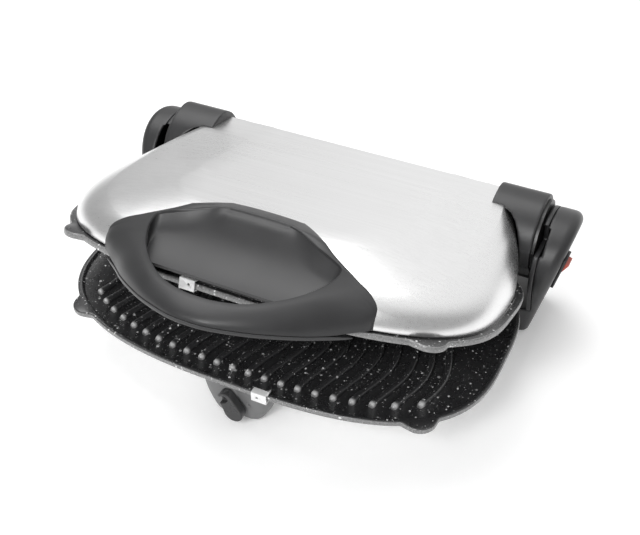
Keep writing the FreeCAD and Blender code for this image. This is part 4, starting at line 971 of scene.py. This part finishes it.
HANDLE_KEYS = [
    # inner x, inner y, outer x, outer y, outer level, fullness of the outer round
    (0.0, -66.5, 0.0, -50.5, 57.2, 7.0),
    (20.0, -66.5, 25.0, -51.0, 57.2, 7.0),
    (26.5, -67.4, 32.0, -53.0, 57.2, 7.0),
    (48.0, -76.0, 60.0, -73.2, 57.2, 6.0),
    (64.5, -80.5, 86.0, -84.2, 57.2, 5.5),
    (70.5, -83.0, 97.0, -87.8, 57.2, 6.0),
    (71.5, -88.0, 103.8, -91.8, 57.2, 6.0),
    (70.0, -94.5, 103.0, -98.2, 57.2, 4.5),
    (66.5, -102.0, 95.5, -105.0, 56.0, 3.2),
    (60.0, -112.0, 83.0, -114.5, 53.2, 2.7),
    (51.0, -122.0, 69.0, -127.0, 52.9, 2.4),
    (38.0, -132.4, 51.0, -139.5, 52.9, 2.4),
    (26.5, -138.6, 35.0, -148.0, 52.9, 2.4),
    (12.0, -142.4, 15.0, -155.4, 52.9, 2.4),
    (0.0, -143.2, 0.0, -157.0, 52.9, 2.4),
]


# shape of the handle's top, rim and hollow in millimetres
CREST_Y = -70.0
FALL_TO_FRONT = 0.475
FALL_TO_REAR = 0.06
END_DROP = 16.4
END_POWER = 2.16
SHELL_PROUD = 1.0
SHELL_BLEND = 2.0
SHELL_LAP = 2.5
RIM_ROUND = 2.4
RIM_STEPS = 16
BOWL_LIP_Y = -111.5
BOWL_LIP_HALF = 60.0
BOWL_LIP_SHRINK = 0.30 / 41.5
BOWL_MIDDLE_Y = -129.9
BOWL_MIDDLE_Z = 124.5
BOWL_STEPS = 26
BOWL_WALL = 2.6
COVER_REAR_Y = -103.0


def handle_top(sizes, x, y):
    """Height of the handle's domed top, which falls to the front and to both ends."""
    fall = FALL_TO_FRONT * max(CREST_Y - y, 0.0) + FALL_TO_REAR * max(y - CREST_Y, 0.0)
    drop = END_DROP * abs(x * MM / sizes.half_width) ** END_POWER
    return sizes.crest_height / MM - drop - fall


def eased(keys, steps):
    """Points on smooth curves through a closed list of keys."""
    count = len(keys)
    points = []
    for index in range(count):
        before, first, second, after = (keys[(index + shift) % count] for shift in (-1, 0, 1, 2))
        for step in range(steps):
            t = step / steps
            points.append(tuple(
                0.5 * (2 * b + (c - a) * t + (2 * a - 5 * b + 4 * c - d) * t ** 2
                       + (3 * b - a - 3 * c + d) * t ** 3)
                for a, b, c, d in zip(before, first, second, after)))
    return points


def handle_path(steps=9):
    """Keys all round the handle, right side first, from the middle of its back."""
    mirrored = [(-a, b, -c, d, e, f) for a, b, c, d, e, f in reversed(HANDLE_KEYS[1:-1])]
    return eased(HANDLE_KEYS + mirrored, steps)


def shell_top(sizes, rings, x, y):
    """Top of the shell, which stands a little above the steel."""
    steel = steel_level(rings, x, y)
    top = handle_top(sizes, x, y)
    if steel is None:
        return top
    proud = steel + SHELL_PROUD
    return 0.5 * (top + proud + math.hypot(top - proud, SHELL_BLEND))


def rim_section(sizes, rings, key):
    """Section of the shell: inner wall, rim, outer edge and back underneath."""
    inner_x, inner_y, outer_x, outer_y, level, full = key
    steel = steel_level(rings, outer_x, outer_y)
    level = level if steel is None else max(level, steel - SHELL_LAP)
    inner, outer = Vector((inner_x, inner_y)), Vector((outer_x, outer_y))
    across = outer - inner
    width = across.length
    rim = shell_top(sizes, rings, inner_x, inner_y)
    foot = min(level, rim - 6.0)
    section = [(0.0, foot), (0.0, 0.5 * (foot + rim)), (0.0, rim - RIM_ROUND), (0.18, rim - 1.3),
               (0.6, rim - 0.6), (1.3, rim - 0.12)]
    start = math.asin((RIM_ROUND / width) ** (full / 2.0))
    for step in range(RIM_STEPS + 1):
        turn = start + (0.5 * math.pi - start) * step / RIM_STEPS
        share = math.sin(turn) ** (2.0 / full)
        spot = inner + across * share
        top = shell_top(sizes, rings, spot.x, spot.y)
        rise = max(math.cos(turn), 0.0) ** (2.0 / full)
        section.append((share * width, level + (top - level) * rise))
    under = level - 0.3
    section += [(width - 0.4, under), (width - 2.5, under), (2.0, min(foot, level) - 0.3)]
    return [(*(inner + across * (reach / width)), z) for reach, z in section]


def scoop_floor(sizes, y):
    """Height of the hollow's round floor."""
    radius = sizes.scoop_radius / MM
    return BOWL_MIDDLE_Z - math.sqrt(max(radius ** 2 - (y - BOWL_MIDDLE_Y) ** 2, 0.0))


def bowl_rows(sizes, rings, path):
    """Floor of the hollow: rows from the rim down the scoop to its straight front lip."""
    rows = []
    back = [key for key in path if key[1] > BOWL_LIP_Y + 1.0]
    back.sort(key=lambda key: math.atan2(key[0], key[1] - BOWL_LIP_Y - 0.5))
    for inner_x, inner_y, *_ in back:
        lip_x = inner_x * (1.0 - BOWL_LIP_SHRINK * (inner_y - BOWL_LIP_Y))
        lip_x = max(-BOWL_LIP_HALF, min(BOWL_LIP_HALF, lip_x))
        rise = shell_top(sizes, rings, inner_x, inner_y) - 1.6 - scoop_floor(sizes, inner_y)
        row = []
        for step in range(BOWL_STEPS + 1):
            share = (step / BOWL_STEPS) ** 1.4
            x = inner_x + (lip_x - inner_x) * share
            y = inner_y + (BOWL_LIP_Y - inner_y) * share
            run = math.hypot(x - inner_x, y - inner_y)
            wall = max(1.0 - run / 9.0, 0.0) ** 2.6
            row.append((x, y, scoop_floor(sizes, y) + rise * wall))
        rows.append(row)
    return rows


def strip_faces(rows, size):
    """Quads between open rows of points that follow each other."""
    return [(low + step, low + step + 1, low + size + step + 1, low + size + step)
            for low in range(0, (rows - 1) * size, size) for step in range(size - 1)]


def cover_section(key, sizes):
    """Section of the bottom cover, which stands a little proud of the shell."""
    inner, outer = Vector(key[0:2]), Vector(key[2:4])
    across = outer - inner
    width = across.length
    top, low = sizes.parting / MM - 0.2, sizes.bottom / MM
    low += (top - 1.2 - low) * max(0.0, min(1.0, (inner.y + 112.0) / 9.0)) ** 1.5
    tall = top - low
    section = [(0.3, low + 0.2 * tall), (0.3, top), (width - 1.5, top), (width + 0.35, top),
               (width + 0.7, top - 0.07 * tall), (width + 0.75, low + 0.42 * tall),
               (width + 0.3, low + 0.17 * tall), (width - 0.8, low + 0.03 * tall),
               (width - 2.2, low), (1.5, low)]
    return [(*(inner + across * (reach / width)), z) for reach, z in section]


class GRILL_OT_handle(Operator):
    """Build the handle: the scooped upper shell and the bottom cover of the hand bar"""
    bl_idname = "grill.handle"
    bl_label = "Handle"

    def execute(self, context):
        sizes = context.scene.grill_handle
        path = handle_path()
        shell = self.upper_shell(sizes, steel_rings(context.scene.grill_lid), path)
        cover = self.bottom_cover(sizes, path)
        placed(shell, "black_moulding", "lid", "black_plastic", "handle_shell")
        placed(cover, "black_moulding", "lid", "black_plastic", "handle_base")
        return {"FINISHED"}

    def upper_shell(self, sizes, rings, path):
        sections = [rim_section(sizes, rings, key) for key in path]
        size = len(sections[0])
        points = [opened(*point) for section in sections for point in section]
        count = len(sections)
        faces = []
        for ring in range(count):
            after = (ring + 1) % count
            for step in range(size):
                onward = (step + 1) % size
                faces.append((ring * size + step, after * size + step, after * size + onward,
                              ring * size + onward))
        shell = new_piece("handle_upper_shell", points, faces)
        reworked(shell.data, outward)
        rows = bowl_rows(sizes, rings, path)
        bowl_points = [opened(*point) for row in rows for point in row]
        bowl = new_piece("handle_bowl", bowl_points, strip_faces(len(rows), len(rows[0])))
        reworked(bowl.data, self.facing_up)
        joined(shell, thickened(bowl, BOWL_WALL * MM))
        shaded(shell, 45)
        return shell

    def facing_up(self, sheet):
        bmesh.ops.recalc_face_normals(sheet, faces=sheet.faces)
        if sum(face.normal.z for face in sheet.faces) < 0:
            bmesh.ops.reverse_faces(sheet, faces=sheet.faces)

    def bottom_cover(self, sizes, path):
        front = [key for key in path if key[1] < COVER_REAR_Y]
        front.sort(key=lambda key: key[2])
        sections = [cover_section(key, sizes) for key in front]
        size = len(sections[0])
        points = [opened(*point) for section in sections for point in section]
        cover = new_piece("handle_bottom_cover", points, capped_faces(len(sections), size))
        reworked(cover.data, outward)
        shaded(cover, 35)
        return cover


def joined(piece, *others):
    """Add other objects' meshes to a piece and remove the objects."""
    def work(sheet):
        for other in others:
            sheet.from_mesh(other.data)
    reworked(piece.data, work)
    for other in others:
        bpy.data.objects.remove(other)
    return piece


# Hinge arms and pods


class GRILL_OT_hinge_arms(Operator):
    """Round off the arms at the rear of the lid and finish their steel straps"""
    bl_idname = "grill.hinge_arms"
    bl_label = "Hinge arms"

    def execute(self, context):
        soft = context.scene.grill_soft
        for side in ("left", "right"):
            arm = softened("hinge_arm_" + side, "arm_moulding_" + side, soft.arm_voxel, soft.passes)
            placed(arm, "black_moulding", "lid", "black_plastic", "hinge_arm_" + side)
            # painted shade: the strap is drawn near black
            paint("hinge_strap_" + side, "burnished_steel")
            paint("hinge_bush_" + side, "sintered_bronze")
        return {"FINISHED"}


def paint(node, finish):
    """Give a CAD node that stays a finish of its own."""
    slots = frame["nodes"][node].data.materials
    slots.clear()
    slots.append(finish_named(finish))


class GRILL_OT_hinge_pods(Operator):
    """Round off the two hinge pods and their inner covers"""
    bl_idname = "grill.hinge_pods"
    bl_label = "Hinge pods"

    def execute(self, context):
        soft = context.scene.grill_soft
        for side in ("left", "right"):
            shell = softened("pod_shell_" + side, "pod_outer_" + side, soft.pod_voxel, soft.passes)
            placed(shell, "black_moulding", "base", "black_plastic", "pod_shell_" + side)
            cover = softened("pod_cover_" + side, "pod_inner_" + side, soft.pod_voxel * 0.8,
                             soft.passes // 2)
            placed(cover, "black_moulding", "base", "black_plastic", "pod_cover_" + side)
            paint("hinge_pin_" + side, "bright_steel")
        return {"FINISHED"}


# Front cover, latch and clips


# fine remesh sizes in metres, and shapes and spans along Y in millimetres
COVER_VOXEL, LATCH_VOXEL, ROCKER_VOXEL = 0.0006, 0.0004, 0.0003
DIMPLE_X, DIMPLE_Z, DIMPLE_RADIUS, DIMPLE_SPAN = 12.4, 19.4, 1.2, (-101.0, -94.6)
LATCH_HOLLOW = [(-1.0, 26.0), (-1.5, 28.0), (-3.1, 29.3), (-5.2, 29.0), (-6.8, 27.4), (-11.0, 25.6),
                (-11.0, 21.2), (-7.5, 21.3), (-4.5, 21.6), (-2.2, 22.8), (-1.2, 24.3)]
LATCH_HOLLOW_SPAN = (-107.5, -101.3)
LATCH_PIVOT = (-3.0, 26.0)
LATCH_PIN = [(1.1, -102.9), (1.6, -102.7), (1.85, -102.3), (1.85, -93.0), (1.2, -91.9)]
CLIP_HOLE, CLIP_HOLE_SPAN = (26.6, 44.8, 1.0), (-110.6, -108.2)
CLIP_TAB = [(33.2, 48.7), (34.7, 48.7), (34.9, 50.6), (34.2, 50.6), (34.0, 49.2), (33.2, 49.2)]
CLIP_TAB_SPAN = (-107.6, -102.6)


class GRILL_OT_front_cover(Operator):
    """Build the half-moon cover under the front of the base"""
    bl_idname = "grill.front_cover"
    bl_label = "Front cover"

    def execute(self, context):
        dimples = [prism("dimple", round_outline(x, DIMPLE_Z, DIMPLE_RADIUS), *DIMPLE_SPAN)
                   for x in (-DIMPLE_X, DIMPLE_X)]
        cover = softened("front_cover", "front_cover_moulding", COVER_VOXEL, 5, *dimples)
        placed(cover, "grey_moulding", "base", "grey_plastic", "front_cover")
        return {"FINISHED"}


def turned_pin(name, x, z, profile, count=28):
    """A pin turned about an axis along Y, from pairs of radius and Y."""
    points = []
    for radius, y in profile:
        points += [(px, y, pz) for px, pz in round_outline(x, z, radius, count)]
    pin = new_piece(name, points, capped_faces(len(profile), count))
    reworked(pin.data, outward)
    shaded(pin, 35)
    return pin


class GRILL_OT_latch(Operator):
    """Build the comma-shaped latch lever and its dark pivot screw"""
    bl_idname = "grill.latch"
    bl_label = "Latch lever"

    def execute(self, context):
        hollow = prism("curl_hollow", LATCH_HOLLOW, *LATCH_HOLLOW_SPAN)
        lever = softened("latch_lever", "latch_curl", LATCH_VOXEL, 8, hollow)
        placed(lever, "latch_moulding", "latch", "grey_plastic", "latch_lever")
        pin = turned_pin("latch_pivot", *LATCH_PIVOT, LATCH_PIN)
        placed(pin, "dark_screw", "base", "bright_steel", "latch_screw")
        return {"FINISHED"}


class GRILL_OT_plate_clips(Operator):
    """Build the bright sheet clips that hold the plates"""
    bl_idname = "grill.plate_clips"
    bl_label = "Plate clips"

    def execute(self, context):
        for side, moved in (("lower", None), ("upper", on_upper_plate)):
            clip = merged_copy(side + "_clip", side + "_sheet_clip")
            hole = prism("clip_hole", round_outline(*CLIP_HOLE), *CLIP_HOLE_SPAN, moved)
            combined(clip, hole, "DIFFERENCE")
            combined(clip, prism("clip_tab", CLIP_TAB, *CLIP_TAB_SPAN, moved), "UNION")
            bevelled(clip, 0.15, 2)
            placed(clip, "plated_steel", side + "_clip", "bright_steel", side + "_clip")
        return {"FINISHED"}


class GRILL_OT_switch(Operator):
    """Build the switch bezel and its red rocker"""
    bl_idname = "grill.switch"
    bl_label = "Rocker switch"

    def execute(self, context):
        bezel = bevelled(merged_copy("switch_body", "switch_bezel"), 0.6)
        placed(bezel, "black_moulding", "base", "black_plastic", "switch_body")
        rocker = softened("switch_rocker", "switch_rocker_cap", ROCKER_VOXEL, 4)
        placed(rocker, "red_moulding", "rocker", "red_plastic", "switch_rocker")
        return {"FINISHED"}


class GRILL_OT_base_pieces(Operator):
    """Finish the bridge, gland, pan, feet and the pieces inside"""
    bl_idname = "grill.base_pieces"
    bl_label = "Base and inner pieces"

    def execute(self, context):
        bridge = bevelled(merged_copy("rear_bridge", "bridge_moulding"), 1.2)
        placed(bridge, "black_moulding", "base", "black_plastic", "rear_bridge")
        for node, finish in (
                ("base_pan", "spangled_steel"), ("lower_reflector", "spangled_steel"),
                ("upper_reflector", "spangled_steel"),
                ("lower_heating_element", "heat_tinted_tube"),
                ("upper_heating_element", "heat_tinted_tube"),
                ("lower_thermostat", "pale_ceramic"), ("upper_thermal_fuse", "pale_ceramic"),
                ("terminal_block", "pale_ceramic"), ("cord_gland", "black_moulding"),
                ("lid_frame", "black_moulding"), ("rubber_feet", "foot_rubber")):
            paint(node, finish)
        return {"FINISHED"}


# Screws


def screw_seats(node, axis):
    """Seat, outward direction and measures of each screw in a CAD node, in metres."""
    sheet = bmesh.new()
    sheet.from_mesh(frame["nodes"][node].data)
    bmesh.ops.remove_doubles(sheet, verts=sheet.verts, dist=WELD)
    left, seats = set(sheet.verts), []
    while left:
        group, edge = [], [left.pop()]
        while edge:
            vertex = edge.pop()
            group.append(vertex.co.copy())
            near = {link.other_vert(vertex) for link in vertex.link_edges} & left
            left -= near
            edge.extend(near)
        middle = sum(group, Vector()) / len(group)
        levels = [(point - middle).dot(axis) for point in group]
        widths = [(point - middle - axis * level).length for point, level in zip(group, levels)]
        radius = max(widths)
        head = [level for level, width in zip(levels, widths) if width > 0.9 * radius]
        sign = 1.0 if sum(head) / len(head) > 0.5 * (max(levels) + min(levels)) else -1.0
        seat = min(level * sign for level in head)
        top, tip = max(level * sign for level in levels), min(level * sign for level in levels)
        shank = max(width for level, width in zip(levels, widths) if level * sign < seat - 2e-4)
        seats.append((tuple(middle + axis * sign * seat), tuple(axis * sign),
                      radius, top - seat, shank, seat - tip))
    sheet.free()
    return sorted(seats, key=lambda seat: [round(part, 5) for part in seat[0]])


def screw_shape(radius, height, shank, length):
    """Pan-head screw with a thread and a cross recess, seated at the origin along Z."""
    count, pitch = 20, 0.5
    # radius and level, from the tip over the thread to the head
    rings = [(0.2 * shank, -length), (0.7 * shank, 0.5 * shank - length)]
    for turn in range(int((length - shank - 0.5) / pitch)):
        level = 0.7 * shank - length + turn * pitch
        rings += [(0.98 * shank, level), (0.82 * shank, level + 0.5 * pitch)]
    rings += [(0.9 * shank, -0.2), (0.9 * shank, 0.0), (0.97 * radius, 0.0), (radius, 0.1 * height),
              (radius, 0.45 * height), (0.93 * radius, 0.75 * height),
              (0.78 * radius, 0.93 * height), (0.6 * radius, height)]
    points = [(x, y, level) for reach, level in rings
              for x, y in round_outline(0.0, 0.0, reach, count)]
    screw = new_piece("screw_shape", points, capped_faces(len(rings), count))
    reworked(screw.data, outward)
    arm, half = 0.5 * radius, 0.13 * radius
    cross = [(half, half), (arm, half), (arm, -half), (half, -half), (half, -arm), (-half, -arm),
             (-half, -half), (-arm, -half), (-arm, half), (-half, half), (-half, arm), (half, arm)]
    recess = prism("recess", cross, 0.4 * height, 1.5 * height, lambda x, y, z: (x, z, y))
    combined(screw, recess, "DIFFERENCE")
    return screw


def screw_tree():
    """One screw set on each point, along the point's aim."""
    tree = NodeTree("screws")
    shape = tree.input("Screw", "NodeSocketObject")
    size = tree.input("Size")
    material = tree.input("Material", "NodeSocketMaterial")
    aim = tree.node("GeometryNodeInputNamedAttribute", {"data_type": "FLOAT_VECTOR"}, Name="aim")
    turn = tree.out("FunctionNodeAlignRotationToVector", {"axis": "Z"},
                    Vector=aim.outputs["Attribute"])
    screw = tree.node("GeometryNodeObjectInfo", Object=shape).outputs["Geometry"]
    screws = tree.out("GeometryNodeInstanceOnPoints", Points=tree.start.outputs["Geometry"],
                      Instance=screw, Rotation=turn, Scale=size)
    tree.finish(screws, material)
    return tree


class GRILL_OT_screws(Operator):
    """Set cross-recessed screws where the CAD has them"""
    bl_idname = "grill.screws"
    bl_label = "Screws"

    def execute(self, context):
        tree = screw_tree()
        upright = (Vector(opened(0.0, 0.0, 1.0)) - Vector(opened(0.0, 0.0, 0.0))).normalized()
        across = Vector((1.0, 0.0, 0.0))
        for node, name, axis, body in (
                ("foot_screws", "foot_fasteners", Vector((0.0, 0.0, 1.0)), "base"),
                ("pod_screws", "pod_fasteners", across, "base"),
                ("arm_screws", "arm_fasteners", across, "lid"),
                ("handle_screws", "handle_fasteners", upright, "lid")):
            seats = screw_seats(node, axis)
            shape = screw_shape(*(measure / MM for measure in seats[0][2:]))
            mesh = bpy.data.meshes.new(name)
            mesh.from_pydata([seat[0] for seat in seats], [], [])
            aims = mesh.attributes.new("aim", "FLOAT_VECTOR", "POINT")
            aims.data.foreach_set("vector", [part for seat in seats for part in seat[1]])
            screws = tree.run(linked(name, mesh), Screw=shape, Size=1.0,
                              Material=finish_named("bright_steel"))
            bpy.data.objects.remove(shape)
            shaded(screws, 35)
            placed(screws, "bright_steel", body, "bright_steel", node)
        return {"FINISHED"}


# Stage


# name, setting of the power, size, place and target of each lamp
LAMPS = (("softbox", "key_power", 1.1, (-0.45, 0.35, 1.30), (0.0, 0.0, 0.05)),
         ("front_lamp", "front_power", 0.45, (-0.05, -1.10, 0.98), (0.0, -0.05, 0.05)))
ROOM_BRIGHT_SIDE = (0.3, 0.7, 0.6)
ROOM_SIDE_FALL = (-0.9, 0.0, 0.0)
ROOM_DIMMEST = 0.42
FLOOR_REACH = 4.0
FLOOR_LIFT = 0.16


class GRILL_OT_stage(Operator):
    """Set the camera, the soft light and the pale floor"""
    bl_idname = "grill.stage"
    bl_label = "Stage"

    def execute(self, context):
        sizes = context.scene.grill_stage
        self.camera(context.scene, sizes)
        self.lights(context.scene, sizes)
        self.surroundings(context.scene, sizes)
        self.floor(context.scene)
        context.scene.view_settings.view_transform = "Standard"
        return {"FINISHED"}

    def camera(self, scene, sizes):
        eye = bpy.data.objects.new("photo_camera", bpy.data.cameras.new("photo_camera"))
        eye.data.lens = sizes.lens
        eye.data.sensor_width = 36.0
        eye.data.sensor_fit = "HORIZONTAL"
        tilt = Matrix.Rotation(0.5 * math.pi - sizes.elevation, 4, "X")
        turn = Matrix.Rotation(sizes.azimuth, 4, "Z")
        eye.matrix_world = Matrix.Translation(sizes.camera) @ turn @ tilt
        scene.collection.objects.link(eye)
        scene.camera = eye

    def lights(self, scene, sizes):
        for name, power, size, spot, target in LAMPS:
            lamp = bpy.data.objects.new(name, bpy.data.lights.new(name, "AREA"))
            lamp.data.energy = getattr(sizes, power)
            lamp.data.size = size
            aim = (Vector(target) - Vector(spot)).to_track_quat("-Z", "Y")
            lamp.matrix_world = Matrix.Translation(spot) @ aim.to_matrix().to_4x4()
            scene.collection.objects.link(lamp)

    def looking(self, nodes):
        """1 for the rays that show the room: to the eye, off metal and through glass."""
        path = nodes.node("ShaderNodeLightPath").outputs
        seen = nodes.math("MAXIMUM", path["Is Camera Ray"], path["Is Glossy Ray"])
        return nodes.math("MAXIMUM", seen, path["Is Transmission Ray"])

    def surroundings(self, scene, sizes):
        """White room: even light on the part, and a view that is darker to the sides."""
        world = bpy.data.worlds.new("studio")
        scene.world = world
        world.use_nodes = True
        nodes = Nodes(world.node_tree)
        even = world.node_tree.nodes["Background"]
        nodes.plug(even.inputs["Color"], WHITE)
        nodes.plug(even.inputs["Strength"], sizes.fill)
        facing = nodes.node("ShaderNodeTexCoord").outputs["Generated"]
        toward = nodes.node("ShaderNodeVectorMath", {"operation": "DOT_PRODUCT"}, in0=facing,
                            in1=ROOM_BRIGHT_SIDE).outputs["Value"]
        aside = nodes.out("ShaderNodeVectorMath", {"operation": "ABSOLUTE"}, in0=facing)
        sides = nodes.node("ShaderNodeVectorMath", {"operation": "DOT_PRODUCT"}, in0=aside,
                           in1=ROOM_SIDE_FALL).outputs["Value"]
        glow = nodes.node("ShaderNodeMapRange", {"interpolation_type": "SMOOTHSTEP"},
                          Value=nodes.math("ADD", toward, sides), From_Min=-0.25, From_Max=0.5,
                          To_Min=ROOM_DIMMEST, To_Max=1.0).outputs["Result"]
        room = nodes.out("ShaderNodeBackground", Color=WHITE, Strength=glow)
        shown = nodes.out("ShaderNodeMixShader", in0=self.looking(nodes), in1=even.outputs[0],
                          in2=room)
        nodes.plug(world.node_tree.nodes["World Output"].inputs["Surface"], shown)

    def floor(self, scene):
        corners = [(x * FLOOR_REACH, y * FLOOR_REACH, 0)
                   for x, y in ((-1, -1), (1, -1), (1, 1), (-1, 1))]
        mesh = bpy.data.meshes.new("table")
        mesh.from_pydata(corners, [], [(0, 1, 2, 3)])
        table = linked("table", mesh)
        finish = Finish("pale_table")
        lift = finish.math("MULTIPLY", self.looking(finish), FLOOR_LIFT)
        finish.set(Base_Color=opaque(scene.grill_colours.floor), Roughness=0.9,
                   Specular_IOR_Level=0.1, Emission_Color=WHITE, Emission_Strength=lift)
        mesh.materials.append(finish.material)


OPERATORS = (GRILL_OT_steel_lid, GRILL_OT_cooking_plates, GRILL_OT_plate_ribs, GRILL_OT_handle,
             GRILL_OT_hinge_arms, GRILL_OT_hinge_pods, GRILL_OT_front_cover, GRILL_OT_latch,
             GRILL_OT_plate_clips, GRILL_OT_switch, GRILL_OT_base_pieces, GRILL_OT_screws,
             GRILL_OT_stage)

SETTINGS = {"grill_plates": PlateSizes, "grill_lid": LidSizes, "grill_handle": HandleSizes,
            "grill_soft": SoftEdges, "grill_colours": Colours, "grill_stage": StageSizes}


class GRILL_PT_sidebar(Panel):
    """Sizes, colours and build steps of the sandwich maker"""
    bl_idname = "GRILL_PT_sidebar"
    bl_label = "Sandwich maker"
    bl_space_type = "VIEW_3D"
    bl_region_type = "UI"
    bl_category = "Sandwich Maker"

    def draw(self, context):
        for attribute, group in SETTINGS.items():
            column = self.layout.column(align=True)
            for key in group.__annotations__:
                column.prop(getattr(context.scene, attribute), key)
        for operator in OPERATORS:
            self.layout.operator(operator.bl_idname)


def register():
    for group in SETTINGS.values():
        bpy.utils.register_class(group)
    for attribute, group in SETTINGS.items():
        setattr(bpy.types.Scene, attribute, PointerProperty(type=group))
    for operator in OPERATORS:
        bpy.utils.register_class(operator)
    bpy.utils.register_class(GRILL_PT_sidebar)


def unregister():
    bpy.utils.unregister_class(GRILL_PT_sidebar)
    for operator in reversed(OPERATORS):
        bpy.utils.unregister_class(operator)
    for attribute, group in SETTINGS.items():
        delattr(bpy.types.Scene, attribute)
        bpy.utils.unregister_class(group)


def main():
    register()
    bpy.ops.grill.steel_lid()
    bpy.ops.grill.cooking_plates()
    bpy.ops.grill.plate_ribs()
    bpy.ops.grill.handle()
    bpy.ops.grill.hinge_arms()
    bpy.ops.grill.hinge_pods()
    bpy.ops.grill.front_cover()
    bpy.ops.grill.latch()
    bpy.ops.grill.plate_clips()
    bpy.ops.grill.switch()
    bpy.ops.grill.base_pieces()
    bpy.ops.grill.screws()
    bpy.ops.grill.stage()


if __name__ == "__main__":
    main()
